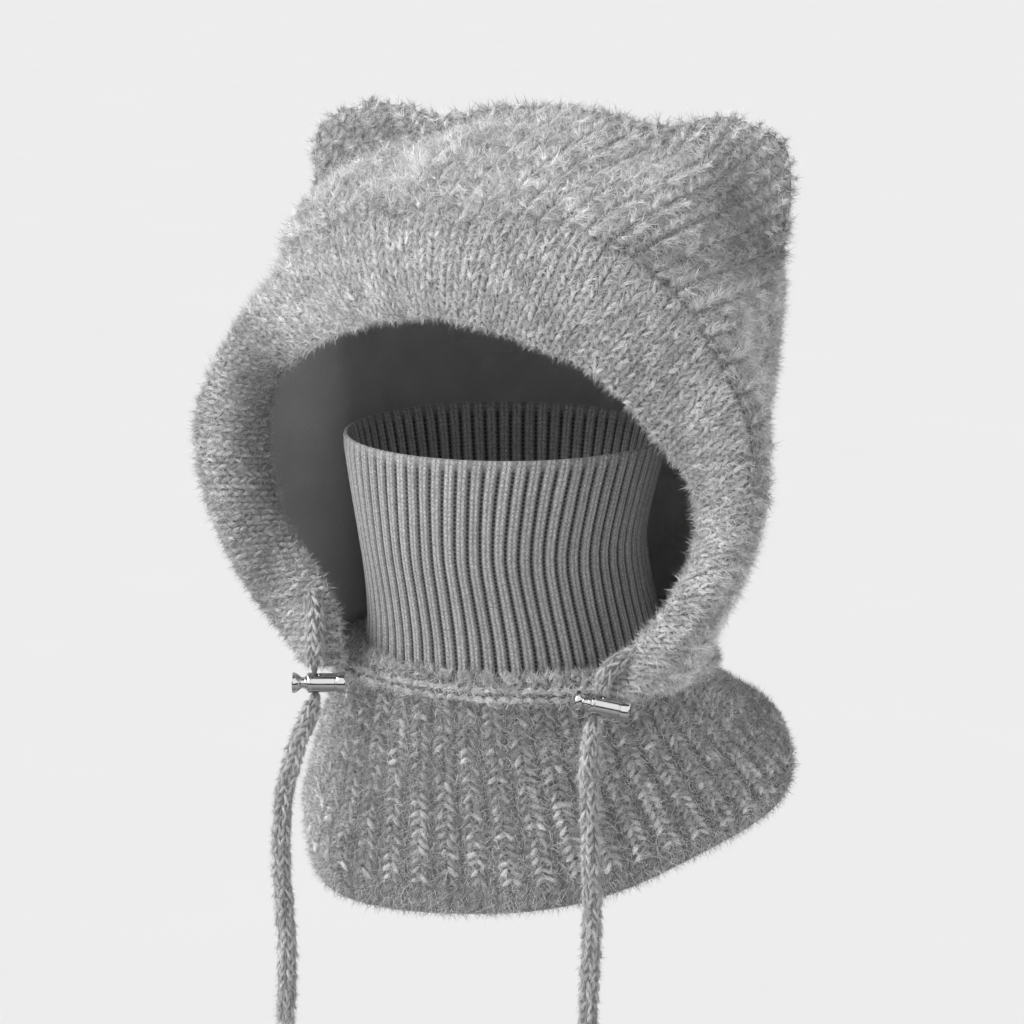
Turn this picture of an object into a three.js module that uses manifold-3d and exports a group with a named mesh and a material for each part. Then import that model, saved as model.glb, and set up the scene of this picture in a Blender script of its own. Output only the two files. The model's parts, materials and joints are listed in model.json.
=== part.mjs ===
// Hooded scarf: a fuzzy knitted hood with two cat ears, a padded face band with a drawstring,
// a smooth lining, a fine-ribbed neck gaiter inside and a flared neck cape below.
// Millimetres, +Z up, the face looks along -Y. The origin is the point under the crown of the
// lining that rests on top of the wearer's head.

import * as THREE from 'three';
import { mergeVertices } from 'three/addons/utils/BufferGeometryUtils.js';
import Module from 'manifold-3d';

const wasm = await Module();
wasm.setup();

// Driving dimensions
const GAP = 0.4;
const KNIT_WALL = 3.6;
const LINING_WALL = 2;
const LINING_CLEAR = 2.1;
const CROWN_TOP = KNIT_WALL + LINING_CLEAR + LINING_WALL;
const NECKLINE = -240;
const SHELL_END = -241.8;
const LINING_END = -236;
const CROWN_DIP = 6;
const CROWN_DIP_AT = 55;
const CROWN_DIP_WIDTH = 20;
const BAND_THICKNESS = 14;
const BAND_CROWN = 2.5;
const BAND_EDGE = 1;
const BAND_SQUARENESS = 0.8;
const FACE_EDGE_CLEAR = 3.2;
const FACE_EDGE_BACK = -98;
const LINING_EDGE_BACK = -95;
const SECTION_SAMPLES = 400;
const LOOP_SAMPLES = 360;
const LOOP_SOFTNESS = 5;
const LEAST_HEAD = 3;
const LEAST_EAR = 2.5;
const LEAST_DEPTH = 2;
const EDGE_INSET = 3;
const EAR_TIP_INSET = 1.8;
const LOWERING = { from: -80, to: -10 };
const DIPPING = { from: -30, to: -2 };
const FLARE_END = { from: -66, to: -46 };
const FLARE_START = 15;
const FLARE_MOST = 0.98;
const FLARE_FADE = 0.5;
const CUTTER_DEPTH = 150;
const CUTTER_BELOW = 20;
const GAITER_WALL = 2.6;
const CORD_DIAMETER = 9;
const CORD_PINCH = 1.7;
const PINCH_REACH = 9.5;
const LOCK_STRAIGHT = 8;
const FREE_STEP = 7;
const HIDDEN_STEP = 15;
const CORD_FINE_STEP = 2;
const ROUTE_SAMPLES = 4000;
const LOCK_YAW = THREE.MathUtils.degToRad(22);
const LOCK_TILT_RIGHT = THREE.MathUtils.degToRad(12);
const LOCK_TRAVEL = 1.8;

// Faceting
const HOOD_SIDES = 40;
const GAITER_SIDES = 32;
const CAPE_SIDES = 40;
const BAND_STEPS = 30;
const BAND_SIDES = 10;
const CORD_SIDES = 8;
const LOCK_SIDES = 12;

// Hood sections from the neckline up: height, half width with the ears, half width of the head
// form alone, front, place of the widest point, back, squareness of the front and ear half depth
const HOOD_SECTIONS = [
  { z: -243, half: 90, head: 90, front: -122, wide: -33, back: 52, square: 5, ear: 6 },
  { z: -222, half: 93, head: 93, front: -122, wide: -28, back: 68, square: 5, ear: 6 },
  { z: -202, half: 96, head: 96, front: -122, wide: -22, back: 84, square: 5, ear: 6 },
  { z: -180, half: 100, head: 100, front: -122, wide: -14, back: 100, square: 5, ear: 6 },
  { z: -157, half: 103, head: 103, front: -122, wide: -8, back: 112, square: 5, ear: 6 },
  { z: -134, half: 105, head: 105, front: -122, wide: -3, back: 121, square: 5, ear: 6 },
  { z: -112, half: 107, head: 107, front: -123, wide: 0, back: 125, square: 5, ear: 8 },
  { z: -92, half: 110, head: 109, front: -125, wide: 0, back: 125, square: 5, ear: 12 },
  { z: -74, half: 115, head: 110, front: -126, wide: 0, back: 121, square: 4.5, ear: 15 },
  { z: -58, half: 122, head: 108, front: -127, wide: 0, back: 114, square: 4.2, ear: 16 },
  { z: -44, half: 127, head: 104, front: -127, wide: 0, back: 106, square: 4, ear: 15 },
  { z: -32, half: 129, head: 99, front: -126, wide: 0, back: 97, square: 3.8, ear: 13 },
  { z: -21, half: 129, head: 91, front: -116, wide: 0, back: 85, square: 3, ear: 11.5 },
  { z: -12, half: 128, head: 79, front: -97, wide: 0, back: 70, square: 2.5, ear: 10 },
  { z: -5, half: 125, head: 64, front: -72, wide: 0, back: 53, square: 2.2, ear: 9 },
  { z: 0, half: 119, head: 47, front: -48, wide: 0, back: 37, square: 2, ear: 8 },
  { z: 3.5, half: 111, head: 30, front: -27, wide: 0, back: 22, square: 2, ear: 6.5 },
  { z: CROWN_TOP, half: 100, head: 12, front: -7, wide: 0, back: 7, square: 2, ear: 5 },
];

// Face band from its left end over the forehead to its right end: the rim is its sewn edge,
// the lip the free edge round the face
const BAND_SECTIONS = [
  { rim: [-81, -112, -241], lip: [-59, -111, -240], thick: 0.75 },
  { rim: [-94, -110, -227], lip: [-62, -109, -222], thick: 0.9 },
  { rim: [-105, -109, -215], lip: [-70, -106, -207], thick: 1 },
  { rim: [-117, -108, -200], lip: [-83, -101, -194], thick: 1 },
  { rim: [-127, -107, -182], lip: [-95, -95, -181], thick: 1 },
  { rim: [-134, -108, -160], lip: [-103, -91, -162], thick: 1 },
  { rim: [-136, -108, -138], lip: [-105, -90, -142], thick: 1 },
  { rim: [-129, -108, -113], lip: [-99, -97, -118], thick: 1 },
  { rim: [-112, -108, -86], lip: [-82, -110, -101], thick: 1 },
  { rim: [-89, -110, -60], lip: [-60, -121, -88], thick: 1 },
  { rim: [-56, -119, -38], lip: [-32, -133, -78], thick: 1 },
  { rim: [2, -126, -31], lip: [5, -140, -73], thick: 1 },
  { rim: [60, -121, -36], lip: [43, -137, -82], thick: 1 },
  { rim: [99, -110, -60], lip: [73, -128, -97], thick: 1 },
  { rim: [120, -108, -91], lip: [94, -115, -124], thick: 1 },
  { rim: [133, -107, -118], lip: [105, -101, -144], thick: 1 },
  { rim: [136, -107, -143], lip: [109, -96, -161], thick: 1 },
  { rim: [133, -107, -167], lip: [108, -97, -181], thick: 1 },
  { rim: [125, -108, -191], lip: [99, -103, -201], thick: 1 },
  { rim: [112, -109, -214], lip: [86, -106, -218], thick: 1 },
  { rim: [99, -111, -232], lip: [73, -109, -232], thick: 0.9 },
  { rim: [89, -112, -244], lip: [65, -111, -242], thick: 0.75 },
];

// Neck gaiter from its foot, sewn inside the neckline, up to its free edge
const GAITER_SECTIONS = [
  { z: -250, halfX: 71, halfY: 72, middle: -42 },
  { z: -240, halfX: 70.5, halfY: 72, middle: -43 },
  { z: -224, halfX: 68, halfY: 71, middle: -47 },
  { z: -204, halfX: 66, halfY: 71, middle: -54 },
  { z: -184, halfX: 66, halfY: 72, middle: -60 },
  { z: -159, halfX: 71, halfY: 74, middle: -59 },
  { z: -138, halfX: 76, halfY: 75, middle: -56 },
];

// Neck cape from the sewn shoulder down over the purl ridge to the rolled hem: a fixed depth
// below the neckline, then a share of the skirt that is left
const CAPE_SECTIONS = [
  { below: 0, share: 0, halfX: 76.5, halfY: 77.5, middle: -42, wall: 4.5, innerDrop: 6 },
  { below: 3, share: 0, halfX: 90, halfY: 86.5, middle: -35, wall: 6, innerDrop: 6 },
  { below: 9, share: 0, halfX: 93.5, halfY: 89, middle: -34, wall: 7, innerDrop: 3 },
  { below: 15, share: 0, halfX: 91, halfY: 87, middle: -33, wall: 6, innerDrop: 0 },
  { below: 22, share: 0.1, halfX: 96, halfY: 90, middle: -30, wall: 6, innerDrop: 0 },
  { below: 22, share: 0.4, halfX: 107, halfY: 97, middle: -21, wall: 6, innerDrop: 0 },
  { below: 22, share: 0.7, halfX: 118, halfY: 103, middle: -11, wall: 6, innerDrop: 0 },
  { below: 22, share: 0.88, halfX: 124, halfY: 106, middle: -5, wall: 9, innerDrop: 0 },
  { below: 22, share: 1, halfX: 123, halfY: 105, middle: -4, wall: 6.5, innerDrop: 0 },
];
const HEM_HEIGHT = -326;
const HEM_FRONT_DROP = 30;
const HEM_LEFT_DROP = 16;
const FOLD_COUNT = 6;
const FOLD_DEPTH = 3;
const FOLD_TURN = 0.6;

// Route of the drawstring: left free end, lock, eyelet, hidden stretch, eyelet, lock, right free end
const CORD_LEFT_END = [
  [-84, -127, -423], [-82, -127, -380], [-84.5, -127, -341], [-83.5, -126, -308],
  [-76.5, -124.5, -279],
];
const LEFT_LOCK = [-68, -123.5, -249.5];
const CORD_LEFT_EXIT = [[-67.8, -123.5, -232], [-69, -120.5, -219]];
const LEFT_EYELET = [-74.5, -112.5, -212];
const RIGHT_EYELET = [84, -112.5, -224.5];
const CORD_RIGHT_EXIT = [[76.5, -120, -229.5]];
const RIGHT_LOCK = [71.5, -124, -246];
const CORD_RIGHT_END = [
  [68.5, -125.5, -275], [69.5, -127, -308], [70.7, -127, -343], [69.5, -127, -378],
  [68, -127, -418],
];
const CASING_INSET = 11;
const MOUTH_LENGTH = 22;
const CHANNEL_CLEARANCE = 1;
const MOUTH_SHARES = [0.15, 0.35, 0.55, 0.75, 1];

// Cord lock, its axis along X and the cord hole at the middle
const LOCK = {
  openEnd: -4.3, closedEnd: 13.4, radius: 4.5, boreRadius: 3.6, boreEnd: 8.8,
  flareStart: 9.5, flareRadius: 5.1, chamfer: 0.5, cordHole: 2.3, holeLength: 30,
};
const PLUNGER = {
  rodRadius: 3.25, rodEnd: 5, buttonOuter: -11.2, buttonInner: -7.6, buttonRadius: 4.7, dish: 0.6,
  dishRadius: 0.6, dishEdge: 0.75,
};

// Materials
const cloth = (color) => new THREE.MeshStandardMaterial({ color, roughness: 0.95, metalness: 0 });
const FUZZY_KNIT = cloth(0x9b9b9b);
const BAND_KNIT = cloth(0xa6a6a6);
const FINE_RIB = cloth(0x8f8f8f);
const FLEECE = cloth(0x5c5c5c);
const CORD_KNIT = cloth(0xa0a0a0);
const POLISHED_METAL = new THREE.MeshStandardMaterial({
  color: 0xc9c9c9, roughness: 0.15, metalness: 1,
});

// Smooth curve through the rows of a table, column by column
function rowAt(table, key, value) {
  const last = table.length - 1;
  let i = 0;
  while (i < last - 1 && value > table[i + 1][key]) i += 1;
  const [p0, p1, p2, p3] = [i - 1, i, i + 1, i + 2].map(
    (k) => table[THREE.MathUtils.clamp(k, 0, last)],
  );
  const span = p2[key] - p1[key];
  const t = THREE.MathUtils.clamp((value - p1[key]) / span, 0, 1);
  const row = {};
  for (const column of Object.keys(p1)) {
    const slopeIn = ((p2[column] - p0[column]) / (p2[key] - p0[key])) * span;
    const slopeOut = ((p3[column] - p1[column]) / (p3[key] - p1[key])) * span;
    row[column] = p1[column] * (2 * t ** 3 - 3 * t ** 2 + 1) + slopeIn * (t ** 3 - 2 * t ** 2 + t)
      + p2[column] * (3 * t ** 2 - 2 * t ** 3) + slopeOut * (t ** 3 - t ** 2);
  }
  return row;
}

// A closed mesh from its corners and triangles
function meshGeometry(corners, triangles) {
  const geometry = new THREE.BufferGeometry();
  geometry.setAttribute('position', new THREE.Float32BufferAttribute(corners.flat(), 3));
  geometry.setIndex(triangles);
  return geometry;
}

// A wall between an outer and an inner stack of loops, rows from the bottom up, each loop
// counterclockwise from its right tip. The top is open, or closed along a ridge from tip to tip.
function wallGeometry(outer, inner, closedTop) {
  const sides = outer[0].length;
  const rows = outer.length;
  const corners = [...outer.flat(), ...inner.flat()];
  const at = (layer, i, j) => (layer * rows + i) * sides + (j % sides);
  const triangles = [];
  const quad = (a, b, c, d) => triangles.push(a, b, c, a, c, d);
  for (let j = 0; j < sides; j += 1) {
    for (let i = 0; i < rows - 1; i += 1) {
      quad(at(0, i, j), at(0, i, j + 1), at(0, i + 1, j + 1), at(0, i + 1, j));
      quad(at(1, i, j + 1), at(1, i, j), at(1, i + 1, j), at(1, i + 1, j + 1));
    }
    quad(at(0, 0, j + 1), at(0, 0, j), at(1, 0, j), at(1, 0, j + 1));
    if (!closedTop) {
      quad(at(0, rows - 1, j), at(0, rows - 1, j + 1), at(1, rows - 1, j + 1), at(1, rows - 1, j));
    }
  }
  if (closedTop) {
    const top = rows - 1;
    for (let j = 0; j < sides / 2; j += 1) {
      const [a, b, c, d] = [j, j + 1, sides - j - 1, sides - j];
      const isTip = j === 0;
      const isFarTip = j === sides / 2 - 1;
      for (const layer of [0, 1]) {
        const p = [a, b, c, d].map((k) => at(layer, top, k));
        const facing = layer === 0 ? (x, y, z) => triangles.push(x, y, z)
          : (x, y, z) => triangles.push(x, z, y);
        if (!isFarTip) facing(p[0], p[1], p[2]);
        if (isFarTip) facing(p[0], p[1], p[3]);
        if (!isTip && !isFarTip) facing(p[0], p[2], p[3]);
      }
    }
  }
  return meshGeometry(corners, triangles);
}

// A solid tube through rings of points, closed by a fan at each end
function ringGeometry(rings) {
  const sides = rings[0].length;
  const corners = rings.flat();
  const triangles = [];
  for (let i = 0; i < rings.length - 1; i += 1) {
    for (let j = 0; j < sides; j += 1) {
      const a = i * sides + j;
      const b = i * sides + ((j + 1) % sides);
      triangles.push(a, b, b + sides, a, b + sides, a + sides);
    }
  }
  const last = (rings.length - 1) * sides;
  for (let j = 1; j < sides - 1; j += 1) {
    triangles.push(0, j + 1, j);
    triangles.push(last, last + j, last + j + 1);
  }
  return meshGeometry(corners, triangles);
}

// Joins and cuts
function toSolid(geometry) {
  const bare = geometry.clone();
  bare.deleteAttribute('normal');
  bare.deleteAttribute('uv');
  const merged = mergeVertices(bare, 1e-4);
  return new wasm.Manifold(new wasm.Mesh({
    numProp: 3,
    vertProperties: new Float32Array(merged.attributes.position.array),
    triVerts: new Uint32Array(merged.index.array),
  }));
}

function fromSolid(solid) {
  const mesh = solid.getMesh();
  const geometry = new THREE.BufferGeometry();
  geometry.setAttribute('position', new THREE.BufferAttribute(mesh.vertProperties, 3));
  geometry.setIndex(new THREE.BufferAttribute(mesh.triVerts, 1));
  return geometry;
}

// The largest body that a cut leaves, without crumbs along the cut
function mainBody(solid) {
  return solid.decompose().sort((a, b) => b.volume() - a.volume())[0];
}

// Points spaced evenly along an open line, its end left out
function spacedAlong(points, count) {
  const lengths = [0];
  for (let i = 1; i < points.length; i += 1) {
    const [x0, y0] = points[i - 1];
    const [x1, y1] = points[i];
    lengths.push(lengths[i - 1] + Math.hypot(x1 - x0, y1 - y0));
  }
  const total = lengths[lengths.length - 1];
  const spaced = [];
  let i = 0;
  for (let k = 0; k < count; k += 1) {
    const wanted = (total * k) / count;
    while (lengths[i + 1] < wanted) i += 1;
    const t = (wanted - lengths[i]) / (lengths[i + 1] - lengths[i]);
    spaced.push([
      THREE.MathUtils.lerp(points[i][0], points[i + 1][0], t),
      THREE.MathUtils.lerp(points[i][1], points[i + 1][1], t),
    ]);
  }
  return spaced;
}

// A closed loop with its creases softened, as in thick knitting
function softened(loop) {
  const reach = LOOP_SOFTNESS * 3;
  const weights = [];
  for (let k = -reach; k <= reach; k += 1) weights.push(Math.exp(-0.5 * (k / LOOP_SOFTNESS) ** 2));
  const sum = weights.reduce((total, weight) => total + weight, 0);
  return loop.map((_, i) => {
    const point = [0, 0];
    weights.forEach((weight, k) => {
      const [x, y] = loop[(i + k - reach + loop.length) % loop.length];
      point[0] += (x * weight) / sum;
      point[1] += (y * weight) / sum;
    });
    return point;
  });
}

// The band's rim on one side of the face at a height, where the hood's front edge flares to it
const RIM_TOP = { left: 10, right: 12 };
function rimAt(side, z) {
  const rows = side < 0 ? BAND_SECTIONS.slice(0, RIM_TOP.left)
    : BAND_SECTIONS.slice(RIM_TOP.right).reverse();
  const table = rows.map(({ rim }) => ({ z: rim[2], x: Math.abs(rim[0]), y: rim[1] }));
  return rowAt(table, 'z', THREE.MathUtils.clamp(z, table[0].z, table[table.length - 1].z));
}

// One horizontal loop of the hood, inset from its outer face, with or without the ears
function hoodLoop(z, inset, ears) {
  const row = rowAt(HOOD_SECTIONS, 'z', z);
  const lowering = THREE.MathUtils.smoothstep(z, LOWERING.from, LOWERING.to);
  const head = Math.max(row.head - inset, LEAST_HEAD);
  const half = ears ? Math.max(row.half - inset * EAR_TIP_INSET, head) : head;
  const earDepth = ears ? Math.max(row.ear - inset, LEAST_EAR) : 0;
  const edge = Math.min(inset, EDGE_INSET);
  const dipWeight = THREE.MathUtils.smoothstep(z, DIPPING.from, DIPPING.to);
  const flareWeight = 1 - THREE.MathUtils.smoothstep(z, FLARE_END.from, FLARE_END.to);

  // Depth of the section at a distance from the middle: head form and ear fin, filleted
  const depthAt = (x, depth, power) => {
    const headDepth = x < head ? depth * (1 - (x / head) ** power) ** (1 / power) : 0;
    const finDepth = earDepth * Math.sqrt(Math.max(0, 1 - (x / half) ** 2));
    return (headDepth ** 2 + finDepth ** 2) ** 0.5;
  };
  const stretch = (end, power) => {
    const depth = Math.max(Math.abs(end - row.wide) - inset, LEAST_DEPTH);
    const points = [];
    for (let k = 0; k <= SECTION_SAMPLES; k += 1) {
      const x = half * Math.cos((Math.PI * k) / SECTION_SAMPLES);
      points.push([x, row.wide + Math.sign(end - row.wide) * depthAt(Math.abs(x), depth, power)]);
    }
    return points;
  };
  const behind = spacedAlong(stretch(row.back, 2), LOOP_SAMPLES / 2);
  const before = spacedAlong(stretch(row.front, row.square).reverse(), LOOP_SAMPLES / 2);
  const soft = softened([...behind, ...before]);
  const backLine = spacedAlong(soft.slice(0, LOOP_SAMPLES / 2 + 1), HOOD_SIDES / 2);
  const frontLine = spacedAlong([...soft.slice(LOOP_SAMPLES / 2), soft[0]], HOOD_SIDES / 2);
  return [...backLine, ...frontLine].map(([x, y]) => {
    const rim = rimAt(Math.sign(x) || 1, z);
    const reach = Math.min((row.wide - rim.y) / (row.wide - row.front), FLARE_MOST);
    const plainX = row.head * (1 - reach ** row.square) ** (1 / row.square);
    const flare = (rim.x - plainX) * flareWeight
      * THREE.MathUtils.smoothstep(-y, FLARE_START, -rim.y - edge);
    const dip = CROWN_DIP * Math.exp(-(((Math.abs(x) - CROWN_DIP_AT) / CROWN_DIP_WIDTH) ** 2));
    const outward = flare * Math.min(1, Math.abs(x) / (half * FLARE_FADE));
    return [x + Math.sign(x) * outward, y, z - inset * lowering - dip * dipWeight];
  });
}

function hoodWall(outerInset, innerInset, ears, bottom) {
  const heights = HOOD_SECTIONS.map(({ z }) => Math.max(z, bottom));
  return toSolid(wallGeometry(
    heights.map((z) => hoodLoop(z, outerInset, ears)),
    heights.map((z) => hoodLoop(z, innerInset, ears)),
    true,
  ));
}

// The face opening: the outline of the rim and a little more, cut from the front
function faceCutter(back) {
  const outline = new THREE.Shape(BAND_SECTIONS.map(({ rim, lip }) => {
    const outwards = new THREE.Vector2(rim[0] - lip[0], rim[2] - lip[2]);
    outwards.setLength(FACE_EDGE_CLEAR);
    return new THREE.Vector2(rim[0] + outwards.x, rim[2] + outwards.y);
  }));
  const lowest = NECKLINE - CUTTER_BELOW;
  outline.lineTo(BAND_SECTIONS[BAND_SECTIONS.length - 1].rim[0], lowest);
  outline.lineTo(BAND_SECTIONS[0].rim[0], lowest);
  const geometry = new THREE.ExtrudeGeometry(outline, { depth: CUTTER_DEPTH, bevelEnabled: false });
  geometry.rotateX(Math.PI / 2);
  geometry.translate(0, back, 0);
  return toSolid(geometry);
}

// Neck cape
function hemHeight(angle) {
  return HEM_HEIGHT + HEM_FRONT_DROP * Math.sin(angle) + HEM_LEFT_DROP * Math.cos(angle);
}

function capeLoop(row, inset, drop) {
  const loop = [];
  for (let k = 0; k < CAPE_SIDES; k += 1) {
    const angle = (2 * Math.PI * k) / CAPE_SIDES;
    const top = NECKLINE - row.below;
    const fold = FOLD_DEPTH * row.share * Math.cos(FOLD_COUNT * angle + FOLD_TURN);
    loop.push([
      (row.halfX - inset + fold) * Math.cos(angle),
      row.middle + (row.halfY - inset + fold) * Math.sin(angle),
      THREE.MathUtils.lerp(top, hemHeight(angle), row.share) - drop,
    ]);
  }
  return loop;
}

function capeWall() {
  const rows = [...CAPE_SECTIONS].reverse();
  const outer = rows.map((row) => capeLoop(row, 0, 0));
  const inner = rows.map((row) => capeLoop(row, row.wall, row.innerDrop));
  return toSolid(wallGeometry(outer, inner, false));
}

// Neck gaiter
function gaiterLoop(row, inset) {
  const loop = [];
  for (let k = 0; k < GAITER_SIDES; k += 1) {
    const angle = (2 * Math.PI * k) / GAITER_SIDES;
    loop.push([
      (row.halfX - inset) * Math.cos(angle),
      row.middle + (row.halfY - inset) * Math.sin(angle),
      row.z,
    ]);
  }
  return loop;
}

function gaiterWall() {
  return toSolid(wallGeometry(
    GAITER_SECTIONS.map((row) => gaiterLoop(row, 0)),
    GAITER_SECTIONS.map((row) => gaiterLoop(row, GAITER_WALL)),
    false,
  ));
}

// Face band: a padded strip lofted from the rim to the lip
const rimCurve = new THREE.CatmullRomCurve3(
  BAND_SECTIONS.map(({ rim }) => new THREE.Vector3(...rim)),
);
const lipCurve = new THREE.CatmullRomCurve3(
  BAND_SECTIONS.map(({ lip }) => new THREE.Vector3(...lip)),
);

function bandRing(t) {
  const rim = rimCurve.getPoint(t);
  const lip = lipCurve.getPoint(t);
  const along = rimCurve.getTangent(t).add(lipCurve.getTangent(t)).normalize();
  const across = lip.clone().sub(rim);
  const halfWidth = across.length() / 2 + BAND_EDGE;
  across.normalize();
  const facing = across.clone().cross(along).normalize();
  const middle = rim.clone().add(lip).multiplyScalar(0.5);
  const place = t * (BAND_SECTIONS.length - 1);
  const i = Math.min(Math.floor(place), BAND_SECTIONS.length - 2);
  const thick = THREE.MathUtils.lerp(BAND_SECTIONS[i].thick, BAND_SECTIONS[i + 1].thick, place - i);
  const ring = [];
  for (let k = 0; k < BAND_SIDES; k += 1) {
    const angle = (-2 * Math.PI * (k + 0.5)) / BAND_SIDES;
    const c = Math.sign(Math.cos(angle)) * Math.abs(Math.cos(angle)) ** BAND_SQUARENESS;
    const s = Math.sign(Math.sin(angle)) * Math.abs(Math.sin(angle)) ** BAND_SQUARENESS;
    const crown = BAND_CROWN * (1 - c ** 2);
    const point = middle.clone()
      .addScaledVector(across, halfWidth * c)
      .addScaledVector(facing, (BAND_THICKNESS / 2) * thick * s + crown);
    ring.push(point.toArray());
  }
  return ring;
}

function bandSolid() {
  const rings = [];
  for (let i = 0; i <= BAND_STEPS; i += 1) rings.push(bandRing(i / BAND_STEPS));
  return toSolid(ringGeometry(rings));
}

// Drawstring: one smooth route, cut at the eyelets into two free ends and the hidden stretch
function casingPoints() {
  return BAND_SECTIONS.slice(2, -2).map(({ rim, lip }) => {
    const towardsRim = new THREE.Vector3(...rim).sub(new THREE.Vector3(...lip));
    return new THREE.Vector3(...lip).addScaledVector(towardsRim.normalize(), CASING_INSET).toArray();
  });
}

// The cord runs straight through a lock, along the lock's own hole
function throughLock(lock, tilt) {
  const up = new THREE.Vector3(0, 0, LOCK_STRAIGHT)
    .applyEuler(new THREE.Euler(0, tilt, LOCK_YAW, 'ZYX'));
  const centre = new THREE.Vector3(...lock);
  return [centre.clone().sub(up), centre, centre.clone().add(up)].map((point) => point.toArray());
}

const cordRoute = new THREE.CatmullRomCurve3([
  ...CORD_LEFT_END, ...throughLock(LEFT_LOCK, 0), ...CORD_LEFT_EXIT, LEFT_EYELET,
  ...casingPoints(), RIGHT_EYELET, ...CORD_RIGHT_EXIT,
  ...throughLock(RIGHT_LOCK, LOCK_TILT_RIGHT).reverse(), ...CORD_RIGHT_END,
].map((point) => new THREE.Vector3(...point)));
cordRoute.arcLengthDivisions = ROUTE_SAMPLES / 2;
const routeLength = cordRoute.getLength();

// The share of the route at which it passes nearest to a point
function shareAt(point) {
  const target = new THREE.Vector3(...point);
  let best = 0;
  for (let i = 0; i <= ROUTE_SAMPLES; i += 1) {
    const here = cordRoute.getPointAt(i / ROUTE_SAMPLES).distanceTo(target);
    if (here < cordRoute.getPointAt(best).distanceTo(target)) best = i / ROUTE_SAMPLES;
  }
  return best;
}

// Shares of the route for a cord's rings: long steps, short ones where a lock pinches it
function cordPlaces(from, to, step, pinchAt) {
  const places = [from];
  let place = from;
  while (place < to) {
    const distance = pinchAt ? cordRoute.getPointAt(place).distanceTo(pinchAt) : Infinity;
    place += (distance < PINCH_REACH + CORD_FINE_STEP ? CORD_FINE_STEP : step) / routeLength;
    if (place < to - CORD_FINE_STEP / routeLength) places.push(place);
  }
  return [...places, to];
}

// A round cord through places on the route, drawn in where the lock pinches it
function cordGeometry(places, radius, pinchAt) {
  const rings = [];
  const side = new THREE.Vector3(Math.cos(LOCK_YAW), Math.sin(LOCK_YAW), 0);
  for (const place of places) {
    const centre = cordRoute.getPointAt(place);
    const along = cordRoute.getTangentAt(place);
    const up = side.clone().addScaledVector(along, -side.dot(along)).normalize();
    const out = along.clone().cross(up);
    const nearLock = pinchAt ? Math.exp(-((centre.distanceTo(pinchAt) / PINCH_REACH) ** 4)) : 0;
    const here = THREE.MathUtils.lerp(radius, CORD_PINCH / 2, nearLock);
    const ring = [];
    for (let k = 0; k < CORD_SIDES; k += 1) {
      const angle = (2 * Math.PI * (k + 0.5)) / CORD_SIDES;
      ring.push(centre.clone().addScaledVector(up, here * Math.cos(angle))
        .addScaledVector(out, here * Math.sin(angle)).toArray());
    }
    rings.push(ring);
  }
  return ringGeometry(rings);
}

// Cord lock barrel and plunger, revolved about X, the cord hole along Z
function revolved(profile) {
  const points = profile.map(([radius, x]) => new THREE.Vector2(radius, x));
  const geometry = new THREE.LatheGeometry(points, LOCK_SIDES);
  geometry.rotateZ(-Math.PI / 2);
  return toSolid(geometry);
}

function cordHole(x) {
  const hole = new THREE.CylinderGeometry(LOCK.cordHole, LOCK.cordHole, LOCK.holeLength, LOCK_SIDES);
  hole.rotateX(Math.PI / 2);
  hole.translate(x, 0, 0);
  return toSolid(hole);
}

function barrelGeometry() {
  const { radius, chamfer } = LOCK;
  const body = revolved([
    [0, LOCK.boreEnd],
    [LOCK.boreRadius, LOCK.boreEnd],
    [LOCK.boreRadius, LOCK.openEnd],
    [radius - chamfer, LOCK.openEnd],
    [radius, LOCK.openEnd + chamfer],
    [radius, LOCK.flareStart],
    [LOCK.flareRadius, LOCK.closedEnd - 2 * chamfer],
    [LOCK.flareRadius - chamfer, LOCK.closedEnd],
    [0, LOCK.closedEnd],
  ]);
  return fromSolid(body.subtract(cordHole(0)));
}

function plungerGeometry() {
  const { buttonRadius, buttonOuter, buttonInner, rodRadius } = PLUNGER;
  const body = revolved([
    [0, buttonOuter + PLUNGER.dish],
    [buttonRadius * PLUNGER.dishRadius, buttonOuter + PLUNGER.dish],
    [buttonRadius * PLUNGER.dishEdge, buttonOuter],
    [buttonRadius - LOCK.chamfer, buttonOuter],
    [buttonRadius, buttonOuter + LOCK.chamfer],
    [buttonRadius, buttonInner - LOCK.chamfer],
    [buttonRadius - LOCK.chamfer, buttonInner],
    [rodRadius, buttonInner],
    [rodRadius, PLUNGER.rodEnd],
    [0, PLUNGER.rodEnd],
  ]);
  return fromSolid(body.subtract(cordHole(-LOCK_TRAVEL)));
}

// Assembly
const part = new THREE.Group();
function addPiece(parent, name, geometry, material) {
  const mesh = new THREE.Mesh(geometry, material);
  mesh.name = name;
  parent.add(mesh);
  return mesh;
}

const shell = hoodWall(0, KNIT_WALL, true, SHELL_END).subtract(faceCutter(FACE_EDGE_BACK));
const lining = hoodWall(KNIT_WALL + LINING_CLEAR, KNIT_WALL + LINING_CLEAR + LINING_WALL, false,
  LINING_END).subtract(faceCutter(LINING_EDGE_BACK));
const leftEyelet = shareAt(LEFT_EYELET);
const rightEyelet = shareAt(RIGHT_EYELET);
const mouth = MOUTH_LENGTH / routeLength;
const endGap = GAP / 2 / routeLength;
const hiddenPlaces = cordPlaces(leftEyelet + endGap, rightEyelet - endGap, HIDDEN_STEP);
const channel = toSolid(cordGeometry(
  [
    ...MOUTH_SHARES.map((share) => leftEyelet - mouth * share).reverse(),
    ...hiddenPlaces,
    ...MOUTH_SHARES.map((share) => rightEyelet + mouth * share),
  ],
  CORD_DIAMETER / 2 + CHANNEL_CLEARANCE,
));
const band = bandSolid().subtract(channel);

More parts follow.
